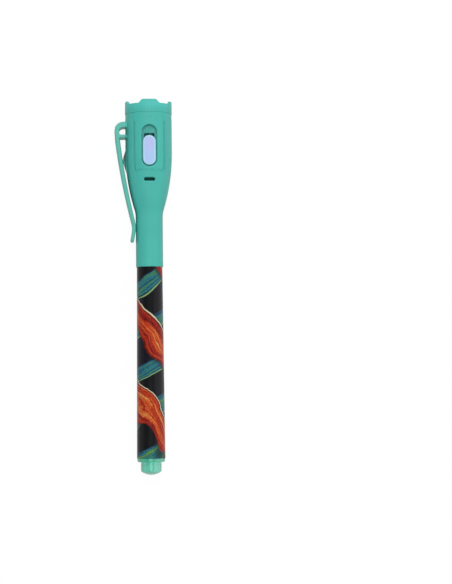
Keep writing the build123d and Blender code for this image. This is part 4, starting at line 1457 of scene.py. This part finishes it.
@dataclass(frozen=True)
class Studio:
    """Pale floor, white surroundings and soft lamps."""

    floor_radius: float = 3.0
    floor_steps: int = 96
    floor_shade: float = 0.07
    floor_rough: float = 0.9
    floor_glow: float = 0.945
    floor_fade: Span = (0.25, 0.6)
    bounce: float = 0.23
    sky: float = 0.63
    sky_side: float = 0.51
    side_span: Span = (0.1, 0.9)
    room_front: float = 0.45
    right_panel: Panel = Panel((0.4, 0.62), 1.2)
    left_panel: Panel = Panel((1.0, 1.3), 0.8)
    middle: float = 65.0
    lamps: tuple[Lamp, ...] = (
        Lamp("key", (0.0, -0.82, 0.55), 2.75),
        Lamp("fill", (-0.05, -0.95, -0.3), 0.95),
    )

    @staticmethod
    def seen(graph: Graph) -> Socket:
        """Finds the rays that see the floor: from the camera, or off or through the pen.

        Args:
            graph: The floor's graph.

        Returns:
            One for such a ray, and zero for others.
        """
        path = graph.add("ShaderNodeLightPath").outputs
        seen = graph.math("MAXIMUM", path["Is Camera Ray"], path["Is Glossy Ray"])
        return graph.math("MAXIMUM", seen, path["Is Transmission Ray"])

    def floor(self) -> None:
        """Makes the floor, which keeps a light shadow and fades to plain white far away."""
        bpy.ops.object.select_all(action="DESELECT")
        bpy.ops.mesh.primitive_circle_add(
            vertices=self.floor_steps, radius=self.floor_radius, fill_type="NGON"
        )
        floor = bpy.context.object
        floor.name = "floor"
        material = bpy.data.materials.new("floor_white")
        material.use_nodes = True
        nodes = material.node_tree.nodes
        graph = Graph(material.node_tree)
        shader = nodes["Principled BSDF"]
        seen = self.seen(graph)
        inputs = {
            "Base Color": (self.floor_shade,) * 3,
            "Roughness": self.floor_rough,
            "Specular IOR Level": 0.0,
            "Emission Color": WHITE,
            "Emission Strength": graph.spread(seen, (0.0, 1.0), self.bounce, self.floor_glow),
        }
        graph.fill(shader, inputs)
        where = graph.add("ShaderNodeTexCoord").outputs["Object"]
        fade = graph.times(graph.rise(graph.measure("LENGTH", where), self.floor_fade), seen)
        glow = graph.add("ShaderNodeEmission", {"Color": WHITE, "Strength": 1.0}).outputs[0]
        both = graph.add("ShaderNodeMixShader", {0: fade, 1: shader.outputs[0], 2: glow})
        graph.fill(nodes["Material Output"], {"Surface": both.outputs[0]})
        floor.data.materials.append(material)

    @staticmethod
    def toward(graph: Graph, way: Vector) -> Socket:
        """How far a ray to the surroundings points in a direction, from -1 to 1."""
        ray = graph.add("ShaderNodeTexCoord").outputs["Generated"]
        return graph.measure("DOT_PRODUCT", ray, way)

    def room(self, graph: Graph, axes: PenAxes) -> Socket:
        """Lights the room that glossy surfaces mirror: dim in front, a bright panel on either side.

        Args:
            graph: The world's graph.
            axes: The pen's axes.

        Returns:
            The brightness in the direction of the ray.
        """
        right = graph.math("ARCTAN2", self.toward(graph, axes.x), self.toward(graph, -axes.y))
        left = graph.times(right, -1.0)
        level: Feed = self.room_front
        for turn, panel in ((right, self.right_panel), (left, self.left_panel)):
            level = graph.math("ADD", graph.spread(turn, panel.edge, 0.0, panel.glow), level)
        return level

    def surroundings(self, axes: PenAxes) -> None:
        """Lights the pen softly, less so from its sides, mirrors the room and shows white behind.

        Args:
            axes: The pen's axes.
        """
        world = bpy.data.worlds.new("white_room")
        bpy.context.scene.world = world
        world.use_nodes = True
        graph = Graph(world.node_tree)
        path = graph.add("ShaderNodeLightPath").outputs
        mirrored = graph.math("MAXIMUM", path["Is Glossy Ray"], path["Is Transmission Ray"])
        side = graph.gap(self.toward(graph, axes.x))
        sky = graph.spread(side, self.side_span, self.sky, self.sky_side)
        level = graph.line(mirrored, graph.minus(self.room(graph, axes), sky), sky)
        level = graph.line(path["Is Camera Ray"], graph.minus(1.0, level), level)
        graph.fill(world.node_tree.nodes["Background"], {"Color": WHITE, "Strength": level})

    def set_up(self, axes: PenAxes) -> None:
        """Builds floor, surroundings and lamps round the pen.

        Args:
            axes: The pen's axes.
        """
        bpy.context.scene.view_settings.view_transform = "Standard"
        self.floor()
        self.surroundings(axes)
        for lamp in self.lamps:
            lamp.hang(axes, axes.point(0.0, 0.0, self.middle))


@dataclass(frozen=True)
class Viewpoint:
    """Camera of the main view, facing the switch, with the pen upright and left of the middle."""

    distance: float = 640.0
    lens: float = 110.25
    nearest: float = 0.01
    eye_height: float = 24.0
    aim_height: float = 60.4
    toward_clip_deg: float = 1.9
    pen_left_px: float = 76.15
    lean_deg: float = 0.48

    def set_up(self, axes: PenAxes) -> None:
        """Places the camera.

        Args:
            axes: The pen's axes.
        """
        data = bpy.data.cameras.new("main_view")
        data.lens = self.lens
        data.clip_start = self.nearest
        camera = bpy.data.objects.new("main_view", data)
        bpy.context.scene.collection.objects.link(camera)
        turn = math.radians(self.toward_clip_deg)
        away = axes.way(-math.sin(turn), -math.cos(turn), 0.0)
        spot = axes.point(0.0, 0.0, self.eye_height) + away * (self.distance * MM)
        back = (spot - axes.point(0.0, 0.0, self.aim_height)).normalized()
        right = axes.z.cross(back).normalized()
        sight = Matrix((right, back.cross(right), back)).transposed()
        focal_px = self.lens / data.sensor_width * IMAGE_HEIGHT_PX
        pan = Matrix.Rotation(-math.atan(self.pen_left_px / focal_px), 3, "Y")
        roll = Matrix.Rotation(math.radians(-self.lean_deg), 3, "Z")
        camera.matrix_world = Matrix.Translation(spot) @ (sight @ pan @ roll).to_4x4()
        bpy.context.scene.camera = camera


def dress_nodes(frame: dict[str, Any], paint: Paintbox) -> None:
    """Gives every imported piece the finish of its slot.

    Args:
        frame: The loaded frame.
        paint: The finishes.
    """
    for part in frame["record"]["subparts"]:
        paint.paint(frame["nodes"][part["node"]], Slot(part["material_slot"]))
        LOG.info("dressed %s as %s", part["node"], part["material_slot"])


def main() -> None:
    """Builds the studio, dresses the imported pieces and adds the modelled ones."""
    logging.basicConfig(level=logging.INFO, format="%(message)s")
    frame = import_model()
    axes = PenAxes.from_record(frame["record"])
    Studio().set_up(axes)
    Viewpoint().set_up(axes)
    PenAxesGroup.build(axes)
    MouldGrainGroup.build()
    RoundSlotGroup.build()
    paint = Paintbox(FINISHES)
    dress_nodes(frame, paint)
    bench = Workbench(axes, paint)
    SpringClip().build(bench)
    CapRim().build(bench)
    FilmLap().build(bench)
    LampInside().build(bench)


if __name__ == "__main__":
    main()
